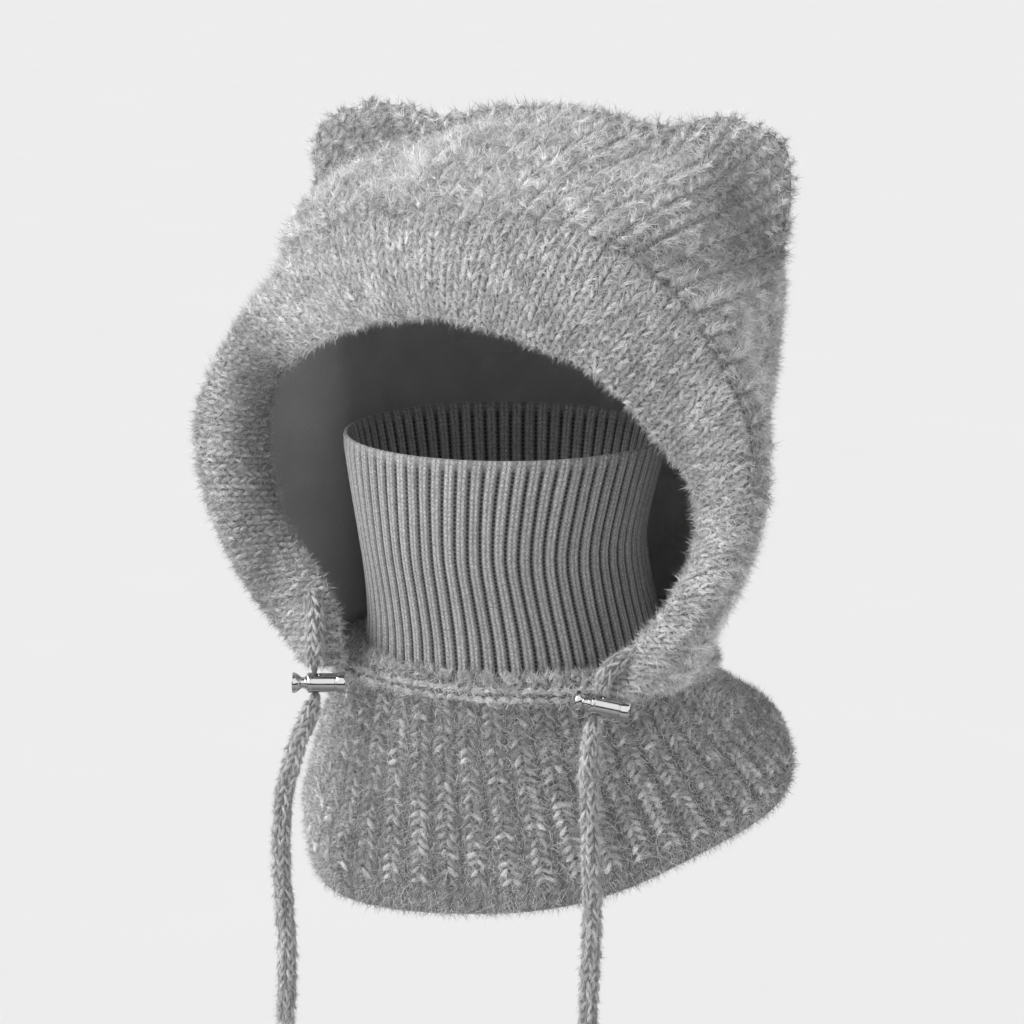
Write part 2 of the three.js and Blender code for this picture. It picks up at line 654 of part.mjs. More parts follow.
addPiece(part, 'hood_shell', fromSolid(mainBody(shell)), FUZZY_KNIT);
addPiece(part, 'hood_lining', fromSolid(mainBody(lining)), FLEECE);
addPiece(part, 'face_band', fromSolid(mainBody(band)), BAND_KNIT);
addPiece(part, 'neck_gaiter', fromSolid(gaiterWall()), FINE_RIB);
addPiece(part, 'neck_cape', fromSolid(capeWall()), FUZZY_KNIT);

const CORDS = [
  { side: 'left', from: 0, to: leftEyelet - endGap, lock: LEFT_LOCK, tilt: 0 },
  { side: 'right', from: rightEyelet + endGap, to: 1, lock: RIGHT_LOCK, tilt: LOCK_TILT_RIGHT },
];
addPiece(part, 'drawstring_in_band', cordGeometry(hiddenPlaces, CORD_DIAMETER / 2), CORD_KNIT);
for (const { side, from, to, lock, tilt } of CORDS) {
  const pinch = new THREE.Vector3(...lock);
  const places = cordPlaces(from, to, FREE_STEP, pinch);
  addPiece(part, `drawstring_${side}`, cordGeometry(places, CORD_DIAMETER / 2, pinch), CORD_KNIT);
  const place = new THREE.Group();
  place.position.copy(pinch);
  place.rotation.order = 'ZYX';
  place.rotation.set(0, tilt, LOCK_YAW);
  const centred = new THREE.Group();
  centred.position.x = LOCK_TRAVEL / 2;
  place.add(centred);
  addPiece(centred, `lock_barrel_${side}`, barrelGeometry(), POLISHED_METAL);
  addPiece(centred, `lock_plunger_${side}`, plungerGeometry(), POLISHED_METAL);
  part.add(place);
}

export default part;
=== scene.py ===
# %% [markdown]
# # A fuzzy hooded scarf
#
# The real thing is a knitted hood with cat ears. A padded ribbed band goes round the face, a
# fine-ribbed gaiter stands inside, a flared cape hangs below, and a knitted drawstring comes
# out of the band through two polished cord locks.
#
# Brushed knitting could be done with hair particles, but those aren't kept by an export. Here
# each stitch is real: small plump yarn legs are laid on a knitting chart that is wrapped round
# each form, and thin fibres are brushed out of them. The legs of a form are joined in one
# mesh, and so are its fibres. Sizes are in millimetres until a mesh is made.

# %% Frame
import json

import bpy
import numpy as np
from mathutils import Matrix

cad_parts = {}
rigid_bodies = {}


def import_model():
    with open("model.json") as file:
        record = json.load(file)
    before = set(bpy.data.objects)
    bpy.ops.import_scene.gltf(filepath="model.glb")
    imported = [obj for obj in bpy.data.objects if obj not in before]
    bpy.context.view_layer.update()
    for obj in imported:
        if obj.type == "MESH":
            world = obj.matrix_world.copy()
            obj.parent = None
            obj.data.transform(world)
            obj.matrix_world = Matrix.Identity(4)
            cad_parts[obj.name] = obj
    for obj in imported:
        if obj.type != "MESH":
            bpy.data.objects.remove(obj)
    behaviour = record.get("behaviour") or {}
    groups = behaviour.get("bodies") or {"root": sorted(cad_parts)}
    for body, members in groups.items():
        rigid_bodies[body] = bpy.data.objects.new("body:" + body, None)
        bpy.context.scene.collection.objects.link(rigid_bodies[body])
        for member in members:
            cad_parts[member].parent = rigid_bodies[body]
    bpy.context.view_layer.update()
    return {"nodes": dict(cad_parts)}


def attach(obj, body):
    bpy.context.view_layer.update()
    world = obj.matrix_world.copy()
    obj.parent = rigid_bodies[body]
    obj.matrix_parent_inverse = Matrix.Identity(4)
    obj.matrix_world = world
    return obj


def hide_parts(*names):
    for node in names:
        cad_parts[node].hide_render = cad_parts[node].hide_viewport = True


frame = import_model()
MM = 0.001
rng = np.random.default_rng(4616)
bpy.ops.object.select_all(action="DESELECT")
print("CAD nodes:", len(frame["nodes"]))

# %% [markdown]
# ## The camera
#
# The photo looks at the hood from 22 degrees to its left and 12 degrees up. A long lens from
# 1.8 m gives the same mild perspective. The camera is aimed with a small look-at helper.

# %% Camera
AIM = np.array([-19.7, 0.0, -189.5])
VIEW_TURN = np.radians(22)
VIEW_RISE = np.radians(12)
DISTANCE = 1800.0
LENS = 131.0


def unit(vectors):
    """Vectors made 1 long."""
    return vectors / np.maximum(np.linalg.norm(vectors, axis=-1, keepdims=True), 1e-12)


back = np.array([
    np.sin(VIEW_TURN) * np.cos(VIEW_RISE),
    -np.cos(VIEW_TURN) * np.cos(VIEW_RISE),
    np.sin(VIEW_RISE),
])
bpy.ops.object.camera_add(
    location=(AIM + DISTANCE * back) * MM,
    rotation=(np.pi / 2 - VIEW_RISE, 0, VIEW_TURN),
)
camera = bpy.context.object
camera.name = "photo_camera"
camera.data.lens = LENS
camera.data.sensor_width = 36
camera.data.clip_end = 300
bpy.context.scene.camera = camera
print("camera at", [round(x, 3) for x in camera.location])

# %% [markdown]
# ## Smooth lines and tables
#
# The forms follow the same tables as the construction model, so the dressed hood has its size.
# Two helpers read them: one goes smoothly through the rows of a table, the other draws a
# smooth line through points, with the same spacing rule as the construction's.

# %% Table and curve helpers


def row_at(table, value):
    """The row of a table at a value of its first column, on a smooth curve through the rows."""
    keys = table[:, 0]
    last = len(keys) - 1
    i = int(np.clip(np.searchsorted(keys, value) - 1, 0, last - 1))
    before, here, after, beyond = table[np.clip([i - 1, i, i + 1, i + 2], 0, last)]
    span = after[0] - here[0]
    t = np.clip((value - here[0]) / span, 0, 1)
    slope_in = (after - before) / (after[0] - before[0]) * span
    slope_out = (beyond - here) / (beyond[0] - here[0]) * span
    return (
        here * (2 * t**3 - 3 * t**2 + 1)
        + slope_in * (t**3 - 2 * t**2 + t)
        + after * (3 * t**2 - 2 * t**3)
        + slope_out * (t**3 - t**2)
    )


def curve_at(points, places):
    """Points of a smooth line at places counted in points, 0 being the first."""
    points = np.asarray(points, float)
    last = len(points) - 1
    padded = np.vstack([2 * points[0] - points[1], points, 2 * points[-1] - points[-2]])
    i = np.clip(np.floor(places).astype(int), 0, last - 1)
    t = (places - i)[:, None]
    p0, p1, p2, p3 = (padded[i + k] for k in range(4))
    d0, d1, d2 = (
        np.maximum(np.linalg.norm(b - a, axis=1, keepdims=True) ** 0.5, 1e-4)
        for a, b in ((p0, p1), (p1, p2), (p2, p3))
    )
    m1 = ((p1 - p0) / d0 - (p2 - p0) / (d0 + d1) + (p2 - p1) / d1) * d1
    m2 = ((p2 - p1) / d1 - (p3 - p1) / (d1 + d2) + (p3 - p2) / d2) * d1
    return p1 + m1 * t + (3 * (p2 - p1) - 2 * m1 - m2) * t**2 + (2 * (p1 - p2) + m1 + m2) * t**3


def arc_lengths(points):
    """Distance along a line at each of its points."""
    return np.concatenate([[0], np.cumsum(np.linalg.norm(np.diff(points, axis=0), axis=1))])


def respaced(points, count):
    """Points spaced evenly along an open line, its end left out."""
    lengths = arc_lengths(points)
    wanted = lengths[-1] * np.arange(count) / count
    return np.stack([np.interp(wanted, lengths, column) for column in points.T], axis=1)


def smooth_step(value, low, high):
    """0 below low, 1 above high, and a soft rise between."""
    t = np.clip((value - low) / (high - low), 0, 1)
    return t * t * (3 - 2 * t)


# %% [markdown]
# ## The drawstring's route
#
# Cords come right after the camera, because their route decides how much of them the camera
# sees. Each free end leaves an eyelet in the band, runs straight through its lock, and hangs.
# The points are the construction's own, in its order.

# %% Cord route
BAND_ROWS = np.array([
    [-81, -112, -241, -59, -111, -240, 0.75], [-94, -110, -227, -62, -109, -222, 0.9],
    [-105, -109, -215, -70, -106, -207, 1], [-117, -108, -200, -83, -101, -194, 1],
    [-127, -107, -182, -95, -95, -181, 1], [-134, -108, -160, -103, -91, -162, 1],
    [-136, -108, -138, -105, -90, -142, 1], [-129, -108, -113, -99, -97, -118, 1],
    [-112, -108, -86, -82, -110, -101, 1], [-89, -110, -60, -60, -121, -88, 1],
    [-56, -119, -38, -32, -133, -78, 1], [2, -126, -31, 5, -140, -73, 1],
    [60, -121, -36, 43, -137, -82, 1], [99, -110, -60, 73, -128, -97, 1],
    [120, -108, -91, 94, -115, -124, 1], [133, -107, -118, 105, -101, -144, 1],
    [136, -107, -143, 109, -96, -161, 1], [133, -107, -167, 108, -97, -181, 1],
    [125, -108, -191, 99, -103, -201, 1], [112, -109, -214, 86, -106, -218, 1],
    [99, -111, -232, 73, -109, -232, 0.9], [89, -112, -244, 65, -111, -242, 0.75],
])
RIM = BAND_ROWS[:, 0:3]
LIP = BAND_ROWS[:, 3:6]
CASING_INSET = 11.0
LOCK_YAW = np.radians(22)
LOCK_TILT = {"left": 0.0, "right": np.radians(12)}
LOCK_PLACE = {"left": np.array([-68, -123.5, -249.5]), "right": np.array([71.5, -124, -246])}
LOCK_STRAIGHT = 8.0
EYELET = {"left": [-74.5, -112.5, -212], "right": [84, -112.5, -224.5]}
CORD_EXIT = {
    "left": [[-67.8, -123.5, -232], [-69, -120.5, -219]],
    "right": [[76.5, -120, -229.5]],
}
CORD_END = {
    "left": [[-84, -127, -423], [-82, -127, -380], [-84.5, -127, -341], [-83.5, -126, -308],
             [-76.5, -124.5, -279]],
    "right": [[68.5, -125.5, -275], [69.5, -127, -308], [70.7, -127, -343], [69.5, -127, -378],
              [68, -127, -418]],
}


def lock_axes(side):
    """A lock's own axes: along its barrel, across it to the back, and along its cord hole."""
    tilt = LOCK_TILT[side]
    ahead, aside = np.cos(LOCK_YAW), np.sin(LOCK_YAW)
    along = np.array([ahead * np.cos(tilt), aside * np.cos(tilt), -np.sin(tilt)])
    across = np.array([-aside, ahead, 0])
    return along, across, np.cross(along, across)


def through_lock(side):
    """Three points straight through a lock, from the lowest up."""
    up = lock_axes(side)[2] * LOCK_STRAIGHT
    return [LOCK_PLACE[side] - up, LOCK_PLACE[side], LOCK_PLACE[side] + up]


casing = LIP[2:-2] + unit(RIM[2:-2] - LIP[2:-2]) * CASING_INSET
route_points = np.vstack([
    CORD_END["left"], through_lock("left"), CORD_EXIT["left"], EYELET["left"],
    casing, EYELET["right"], CORD_EXIT["right"], through_lock("right")[::-1], CORD_END["right"],
])
ROUTE_STEPS = 12000
route = curve_at(route_points, np.linspace(0, len(route_points) - 1, ROUTE_STEPS))
route_length = arc_lengths(route)
eyelet_at = {
    side: route_length[np.argmin(np.linalg.norm(route - EYELET[side], axis=1))]
    for side in ("left", "right")
}
print("drawstring", round(route_length[-1]), "mm, eyelets at", eyelet_at)


def route_at(distance):
    """Points of the drawstring's route at distances from its left end."""
    return np.stack([np.interp(distance, route_length, column) for column in route.T], axis=1)


# %% [markdown]
# ## Mesh helpers
#
# A knitted wall is a grid of points that closes on itself. It could be shaped from a primitive
# by hand, but its size has to follow the tables, so its points are worked out and put in a
# mesh. Edit mode then closes it and turns its faces outwards, as by hand.

# %% Mesh helpers


def make_object(name, vertices, faces, chart=None, tone=None):
    """A mesh object from points in millimetres, with a chart per corner and a tone per point."""
    mesh = bpy.data.meshes.new(name)
    faces = np.asarray(faces)
    corners = faces.shape[1]
    mesh.vertices.add(len(vertices))
    mesh.vertices.foreach_set("co", (np.asarray(vertices) * MM).astype(np.float32).ravel())
    mesh.loops.add(faces.size)
    mesh.loops.foreach_set("vertex_index", faces.astype(np.int32).ravel())
    mesh.polygons.add(len(faces))
    mesh.polygons.foreach_set("loop_start", np.arange(0, faces.size, corners, dtype=np.int32))
    mesh.polygons.foreach_set("use_smooth", np.full(len(faces), True))
    if chart is not None:
        layer = mesh.uv_layers.new(name="chart")
        layer.data.foreach_set("uv", np.asarray(chart, np.float32).ravel())
    if tone is not None:
        layer = mesh.attributes.new("tone", "FLOAT", "POINT")
        layer.data.foreach_set("value", np.asarray(tone, np.float32))
    mesh.update(calc_edges=True)
    return linked(name, mesh)


def linked(name, mesh):
    """An object with a mesh, put in the scene."""
    piece = bpy.data.objects.new(name, mesh)
    bpy.context.scene.collection.objects.link(piece)
    return piece


def only(piece):
    """Makes one object the selected and active one."""
    bpy.ops.object.select_all(action="DESELECT")
    piece.select_set(True)
    bpy.context.view_layer.objects.active = piece


def finish_modifier(piece, kind, **settings):
    """Adds a modifier with its settings and applies it."""
    only(piece)
    modifier = piece.modifiers.new(kind.lower(), kind)
    for key, value in settings.items():
        setattr(modifier, key, value)
    bpy.ops.object.modifier_apply(modifier=modifier.name)


def select_open_edges():
    """In edit mode, selects the edges where a shell is open."""
    bpy.ops.mesh.select_mode(type="EDGE")
    bpy.ops.mesh.select_all(action="DESELECT")
    bpy.ops.mesh.select_non_manifold(extend=False, use_wire=False, use_multi_face=False,
                                     use_non_contiguous=False, use_verts=False)


def sealed(piece, merge=None, bridge=False):
    """Closes a shell, by bridging its two open edges or merging points, and turns it outwards."""
    only(piece)
    bpy.ops.object.mode_set(mode="EDIT")
    if bridge:
        select_open_edges()
        bpy.ops.mesh.bridge_edge_loops()
    bpy.ops.mesh.select_all(action="SELECT")
    if merge:
        bpy.ops.mesh.remove_doubles(threshold=merge)
    bpy.ops.mesh.normals_make_consistent(inside=False)
    bpy.ops.object.mode_set(mode="OBJECT")


def triangles_of(piece):
    """How many triangles a piece has."""
    return sum(len(p.vertices) - 2 for p in piece.data.polygons)


def triangle_data(piece):
    """A piece's triangles: their corner points in millimetres, their loops and their slots."""
    mesh = piece.data
    mesh.calc_loop_triangles()
    count = len(mesh.loop_triangles)
    corners = np.zeros(count * 3, np.int32)
    loops = np.zeros(count * 3, np.int32)
    slots = np.zeros(count, np.int32)
    mesh.loop_triangles.foreach_get("vertices", corners)
    mesh.loop_triangles.foreach_get("loops", loops)
    mesh.loop_triangles.foreach_get("material_index", slots)
    points = np.zeros(len(mesh.vertices) * 3)
    mesh.vertices.foreach_get("co", points)
    points = points.reshape(-1, 3) / MM
    return points[corners.reshape(-1, 3)], loops.reshape(-1, 3), slots


# %% [markdown]
# ## Knitting charts
#
# A knitter's chart counts columns of stitches (wales) and rows (courses). Here it is a UV map:
# wales in U and courses in V. It tells where every stitch goes, and the materials read it too.
# On a tube, wales are counted round each loop and courses by the distance climbed.

# %% Chart helpers


def grid_faces(rows, columns):
    """Faces of a grid whose rows run round, facing out for counterclockwise rows stacked up."""
    i, j = np.meshgrid(np.arange(rows - 1), np.arange(columns), indexing="ij")
    k = (j + 1) % columns
    corners = (i * columns + j, i * columns + k, (i + 1) * columns + k, (i + 1) * columns + j)
    return np.stack(corners, axis=-1).reshape(-1, 4)


def closed_grid(grid):
    """A grid with its first column once more at the end of each row."""
    return np.concatenate([grid, grid[:, :1]], axis=1)


def round_of(closed):
    """The distance round each loop of a closed grid, at each of its points."""
    steps = np.linalg.norm(np.diff(closed, axis=1), axis=2)
    return np.concatenate([np.zeros((len(closed), 1)), np.cumsum(steps, axis=1)], axis=1)


def climb_of(grid):
    """The mean distance from a grid's first loop to each of its loops."""
    steps = np.linalg.norm(np.diff(grid, axis=0), axis=2).mean(axis=1)
    return np.concatenate([[0], np.cumsum(steps)])


def tube_chart(wales, courses):
    """The chart of a tube: its counts round each loop and its counts from loop to loop."""
    return np.stack(np.broadcast_arrays(wales[None], courses[:, None]), axis=2)


def corner_counts(chart, faces):
    """A chart's counts at the four corners of each face of its grid."""
    columns = chart.shape[1] - 1
    i, j = faces[:, 0] // columns, faces[:, 0] % columns
    corners = [chart[i, j], chart[i, j + 1], chart[i + 1, j + 1], chart[i + 1, j]]
    return np.stack(corners, axis=1)


def sheet_object(name, grid, chart):
    """An open sheet from a grid, with its chart at each grid point and one more column."""
    faces = grid_faces(*grid.shape[:2])
    return make_object(name, grid.reshape(-1, 3), faces, chart=corner_counts(chart, faces))


# %% [markdown]
# ## Material helpers
#
# Every surface is procedural: noise or a drawn pattern in its colour and its bump. The nodes
# could be placed one by one, but two small classes add and link each in one line.

# %% Material helpers
NOISE_LOW = 0.3
NOISE_HIGH = 0.7


class Tree:
    """A node tree, whose nodes are added and linked in one line each."""

    def __init__(self, tree):
        self.tree = tree

    def add(self, kind, **settings):
        node = self.tree.nodes.new(kind)
        for key, value in settings.items():
            setattr(node, key, value)
        return node

    def put(self, socket, value):
        if isinstance(value, bpy.types.NodeSocket):
            self.tree.links.new(value, socket)
        else:
            socket.default_value = value

    def feed(self, node, *values):
        """Gives a node's first inputs their values or links, and returns its first output."""
        for socket, value in zip(node.inputs, values):
            self.put(socket, value)
        return node.outputs[0]


class Nodes(Tree):
    """The nodes of a new material, round its one shader."""

    def __init__(self, name, roughness, sheen, metallic=0.0):
        self.material = bpy.data.materials.new(name)
        self.material.use_nodes = True
        super().__init__(self.material.node_tree)
        self.shader = self.tree.nodes["Principled BSDF"]
        self.shader.inputs["Roughness"].default_value = roughness
        self.shader.inputs["Metallic"].default_value = metallic
        self.shader.inputs["Sheen Weight"].default_value = sheen
        self.shader.inputs["Sheen Roughness"].default_value = 0.5
        self.shader.inputs["Specular IOR Level"].default_value = 0.25

    def math(self, operation, *values):
        return self.feed(self.add("ShaderNodeMath", operation=operation), *values)

    def plus(self, a, b):
        return self.math("ADD", a, b)

    def times(self, a, b):
        return self.math("MULTIPLY", a, b)

    def apart(self, a, b):
        return self.math("ABSOLUTE", self.math("SUBTRACT", a, b))

    def noise(self, vector, scale, detail=2.0):
        node = self.add("ShaderNodeTexNoise")
        self.put(node.inputs["Vector"], vector)
        node.inputs["Scale"].default_value = scale
        node.inputs["Detail"].default_value = detail
        return node.outputs["Fac"]

    def remap(self, value, low, high, to_low, to_high):
        return self.feed(self.add("ShaderNodeMapRange"), value, low, high, to_low, to_high)

    def between(self, noise, low, high):
        """Noise as a factor between two values."""
        return self.remap(noise, NOISE_LOW, NOISE_HIGH, low, high)

    def tinted(self, grey, *factors):
        """The colour: one grey, multiplied by each factor."""
        shade = 1.0
        for factor in factors:
            shade = self.times(shade, factor)
        mix = self.add("ShaderNodeMix", data_type="RGBA", blend_type="MIX")
        self.put(mix.inputs[0], shade)
        mix.clamp_factor = False
        mix.inputs[6].default_value = (0, 0, 0, 1)
        mix.inputs[7].default_value = (grey, grey, grey, 1)
        self.put(self.shader.inputs["Base Color"], mix.outputs[2])

    def bump(self, height, distance, strength=1.0):
        node = self.add("ShaderNodeBump")
        self.put(node.inputs["Height"], height)
        node.inputs["Distance"].default_value = distance
        node.inputs["Strength"].default_value = strength
        self.put(self.shader.inputs["Normal"], node.outputs["Normal"])

    def object_place(self):
        return self.add("ShaderNodeTexCoord").outputs["Object"]

    def chart(self):
        split = self.add("ShaderNodeSeparateXYZ")
        self.feed(split, self.add("ShaderNodeUVMap", uv_map="chart").outputs[0])
        return split.outputs[0], split.outputs[1]


# %% [markdown]
# ## Yarn, ground and metal
#
# Brushed yarn is matt, with a soft glow where fibres stand up at grazing angles: that is the
# shader's sheen. The yarn is a grey melange, so each leg and fibre has its own tone, kept as an
# attribute and multiplied into one grey; that tone also carries painted shade and painted light,
# set where legs and fibres are made. The ground between the legs gets plain knitting as a bump
# made of the chart: slanted strokes on both sides of each wale. Its colour has painted shade
# between the strokes and painted light on them, and its grey is darker than the yarn's, as
# painted shade between the legs.

# %% Yarn, ground and metal


def yarn_material(name, grey, hairy=False):
    """Brushed yarn: the tone of each leg or fibre, and soft patches. Legs are hairy, in bump."""
    nodes = Nodes(name, roughness=0.92, sheen=0.35)
    tone = nodes.add("ShaderNodeAttribute", attribute_name="tone").outputs["Fac"]
    place = nodes.object_place()
    patches = nodes.between(nodes.noise(place, 38.0), 0.9, 1.1)
    specks = nodes.between(nodes.noise(place, 1300.0), 0.74, 1.2)
    nodes.tinted(grey, tone, patches, specks)
    if hairy:
        nodes.bump(nodes.noise(place, 2200.0), distance=0.0007, strength=0.8)
    return nodes.material


def knit_material(name, grey, slant, depth, painted_relief_shade):
    """Plain knitting drawn from the chart: two slanted strokes a stitch, with painted shade
    between them and painted light on them.
    """
    nodes = Nodes(name, roughness=0.95, sheen=0.3)
    wale, course = nodes.chart()
    across = nodes.apart(nodes.math("FRACT", wale), 0.5)
    along = nodes.plus(course, nodes.times(across, slant))
    stroke = nodes.math("PINGPONG", along, 0.5)
    leg = nodes.math("SINE", nodes.times(across, 2 * np.pi))
    height = nodes.times(nodes.remap(stroke, 0.0, 0.35, 0.25, 1.0), leg)
    place = nodes.object_place()
    fuzz = nodes.noise(place, 1400.0)
    patches = nodes.between(nodes.noise(place, 30.0), 0.93, 1.07)
    shade = nodes.remap(height, 0.0, 1.0, 1.0 - painted_relief_shade, 1.0 + 0.3 * painted_relief_shade)
    nodes.tinted(grey, shade, patches, nodes.between(fuzz, 0.88, 1.12))
    nodes.bump(nodes.plus(height, nodes.times(fuzz, 0.35)), distance=depth)
    return nodes.material


def metal_material(name, grey):
    """Polished plated metal, with the faint haze of handling."""
    nodes = Nodes(name, roughness=0.12, sheen=0.0, metallic=1.0)
    place = nodes.object_place()
    haze = nodes.noise(place, 260.0, detail=3.0)
    nodes.put(nodes.shader.inputs["Roughness"], nodes.remap(haze, 0.35, 0.7, 0.07, 0.16))
    nodes.tinted(grey, nodes.between(nodes.noise(place, 90.0), 0.97, 1.03))
    nodes.bump(nodes.noise(place, 700.0), distance=0.00003, strength=0.4)
    return nodes.material


YARN_GREY = {"hood": 0.785, "band": 0.8, "cape": 0.61, "cord": 0.59}
FIBRE = {key: yarn_material(f"{key}_fibre", grey) for key, grey in YARN_GREY.items()}
YARN = {key: yarn_material(f"{key}_yarn", grey, hairy=True) for key, grey in YARN_GREY.items()}
# The ground greys lie well below the yarn's: painted shade between the legs.
HOOD_GROUND = knit_material("hood_ground", 0.46, slant=1.2, depth=0.0012, painted_relief_shade=0.5)
CAPE_GROUND = knit_material("cape_ground", 0.26, slant=1.2, depth=0.0012, painted_relief_shade=0.5)
CORD_GROUND = knit_material("cord_ground", 0.3, slant=1.0, depth=0.0006, painted_relief_shade=0.4)
METAL = metal_material("polished_plating", 0.74)
print("yarn, ground and metal:", len(bpy.data.materials), "materials")

# %% [markdown]
# ## The gaiter's rib and the lining's fleece
#
# The gaiter's stitches are smaller than two pixels, so they are drawn: strokes on both wales of
# a rib, a row of dark dashes in the valley, and a tone of its own for each rib. The strokes are
# painted lighter where they stand up, and the dark valley with its dashes is painted shade.
# The valley ends at the turned edge, whose course the gaiter's cell prints. Fleece has no
# stitches, only a nap.

# %% Rib and fleece
TURNED_EDGE = 58.1
RIB_WALE_AT = 0.16


def rib_material(name, grey):
    """Fine 2x2 rib: two columns of tiny strokes on each rib, and stacked dark dashes between;
    painted light on the raised strokes and painted shade in the valley.
    """
    nodes = Nodes(name, roughness=0.95, sheen=0.2)
    wale, course = nodes.chart()
    across = nodes.apart(nodes.math("FRACT", wale), 0.5)
    column = nodes.apart(across, RIB_WALE_AT)
    stroke = nodes.math("PINGPONG", nodes.plus(course, nodes.times(column, 4.0)), 0.5)
    plump = nodes.remap(column, 0.05, 0.17, 1.0, 0.0)
    height = nodes.times(nodes.remap(stroke, 0.05, 0.3, 0.35, 1.0), plump)
    from_edge = nodes.apart(course, TURNED_EDGE)
    valley = nodes.times(
        nodes.remap(across, 0.34, 0.43, 0.0, 1.0), nodes.remap(from_edge, 1.2, 3.4, 0.0, 1.0)
    )
    dash = nodes.remap(nodes.math("PINGPONG", course, 0.5), 0.1, 0.34, 0.04, 0.24)
    raised = nodes.times(
        nodes.remap(height, 0.0, 1.0, 0.58, 1.14), nodes.math("SUBTRACT", 1.0, valley)
    )
    each = nodes.add("ShaderNodeTexWhiteNoise", noise_dimensions="1D")
    nodes.put(each.inputs["W"], nodes.math("FLOOR", wale))
    rib_tone = nodes.remap(each.outputs["Value"], 0.0, 1.0, 0.92, 1.08)
    place = nodes.object_place()
    patches = nodes.times(rib_tone, nodes.between(nodes.noise(place, 30.0), 0.95, 1.05))
    nap = nodes.between(nodes.noise(place, 650.0), 0.84, 1.16)
    fuzz = nodes.noise(place, 1500.0)
    pattern = nodes.plus(raised, nodes.times(dash, valley))
    nodes.tinted(grey, pattern, patches, nap, nodes.between(fuzz, 0.6, 1.36))
    nodes.bump(nodes.plus(height, nodes.times(fuzz, 0.6)), distance=0.0004)
    return nodes.material


def fleece_material(name, grey):
    """Smooth short fleece: a fine dense nap without stitches."""
    nodes = Nodes(name, roughness=1.0, sheen=0.25)
    place = nodes.object_place()
    nap = nodes.noise(place, 1700.0)
    clouds = nodes.noise(place, 45.0, detail=3.0)
    nodes.tinted(grey, nodes.between(nap, 0.9, 1.1), nodes.between(clouds, 0.93, 1.07))
    nodes.bump(nodes.plus(nap, nodes.times(clouds, 1.5)), distance=0.0003, strength=0.6)
    return nodes.material


GAITER_KNIT = rib_material("fine_rib", 0.44)
FLEECE = fleece_material("lining_nap", 0.57)
print("with rib and fleece:", len(bpy.data.materials), "materials")

# %% [markdown]
# ## Where the stitches go
#
# A chart has a stitch in the middle of each cell, half a count past whole wales and courses.
# Each triangle of the wall looks whether such a point lies in it, and if so gives the stitch's
# place, its outward normal and the two directions of the knitting there. It works on any form,
# however it was shaped.

# %% Stitch places
CELL_MIDDLE = 0.5
CHART_JUMP = 8
TINY = 1e-9


def stitch_places(piece):
    """Place, normal, wale direction, course direction and counts of each stitch of a piece.
    Only faces with the first material count, so that hidden sides stay bare."""
    corner, loops, slots = triangle_data(piece)
    mesh = piece.data
    chart = np.zeros(len(mesh.loops) * 2)
    mesh.uv_layers["chart"].data.foreach_get("uv", chart)
    chart = chart.reshape(-1, 2)[loops] + CELL_MIDDLE
    keep = slots == 0
    chart = chart[keep]
    corner = corner[keep]
    e1 = corner[:, 1] - corner[:, 0]
    e2 = corner[:, 2] - corner[:, 0]
    c1 = chart[:, 1] - chart[:, 0]
    c2 = chart[:, 2] - chart[:, 0]
    area = c1[:, 0] * c2[:, 1] - c1[:, 1] * c2[:, 0]
    spread = np.maximum(np.abs(c1), np.abs(c2)).max(axis=1)
    # a triangle across the place where the counts jump back has no stitches
    good = (np.abs(area) > TINY) & (spread < CHART_JUMP)
    chart, corner, e1, e2, c1, c2, area = (
        a[good] for a in (chart, corner, e1, e2, c1, c2, area)
    )
    found = []
    low = np.ceil(chart.min(axis=1) - TINY)
    high = np.floor(chart.max(axis=1) + TINY)
    reach = (high - low).astype(int)
    for du in range(reach[:, 0].max() + 1):
        for dv in range(reach[:, 1].max() + 1):
            target = low + (du, dv)
            d = target - chart[:, 0]
            s = (d[:, 0] * c2[:, 1] - d[:, 1] * c2[:, 0]) / area
            t = (c1[:, 0] * d[:, 1] - c1[:, 1] * d[:, 0]) / area
            inside = (s >= 0) & (t >= 0) & (s + t < 1) & (target <= high + 0.5).all(axis=1)
            k = np.flatnonzero(inside)
            place = corner[k, 0] + s[k, None] * e1[k] + t[k, None] * e2[k]
            normal = unit(np.cross(e1[k], e2[k]))
            along_u = (e1[k] * c2[k, 1:2] - e2[k] * c1[k, 1:2]) / area[k, None]
            along_v = (e2[k] * c1[k, 0:1] - e1[k] * c2[k, 0:1]) / area[k, None]
            found.append(np.hstack([place, normal, along_u, along_v, target[k]]))
    rows = np.vstack(found)
    rows = rows[np.lexsort((rows[:, 13], rows[:, 12]))]
    print(piece.name, "stitches:", len(rows))
    return {
        "place": rows[:, 0:3], "normal": rows[:, 3:6], "wale": rows[:, 6:9],
        "course": rows[:, 9:12], "count": rows[:, 12:14],
    }


# %% [markdown]
# ## Yarn legs
#
# A knit stitch shows as a V of two legs. One leg is a plump spindle of yarn: a point, a few
# rings and a point. All legs of a piece are made at once and joined, each with its own tone.

# %% Yarn legs
LEG_FROM_MIDDLE = 0.24
LEG_HALF = 0.8
LEG_DRIFT = 0.06
LEG_RINGS = 2
LEG_PLUMPNESS = 2.2
LEG_BOW = 0.35
TIP_SINKS = 0.4


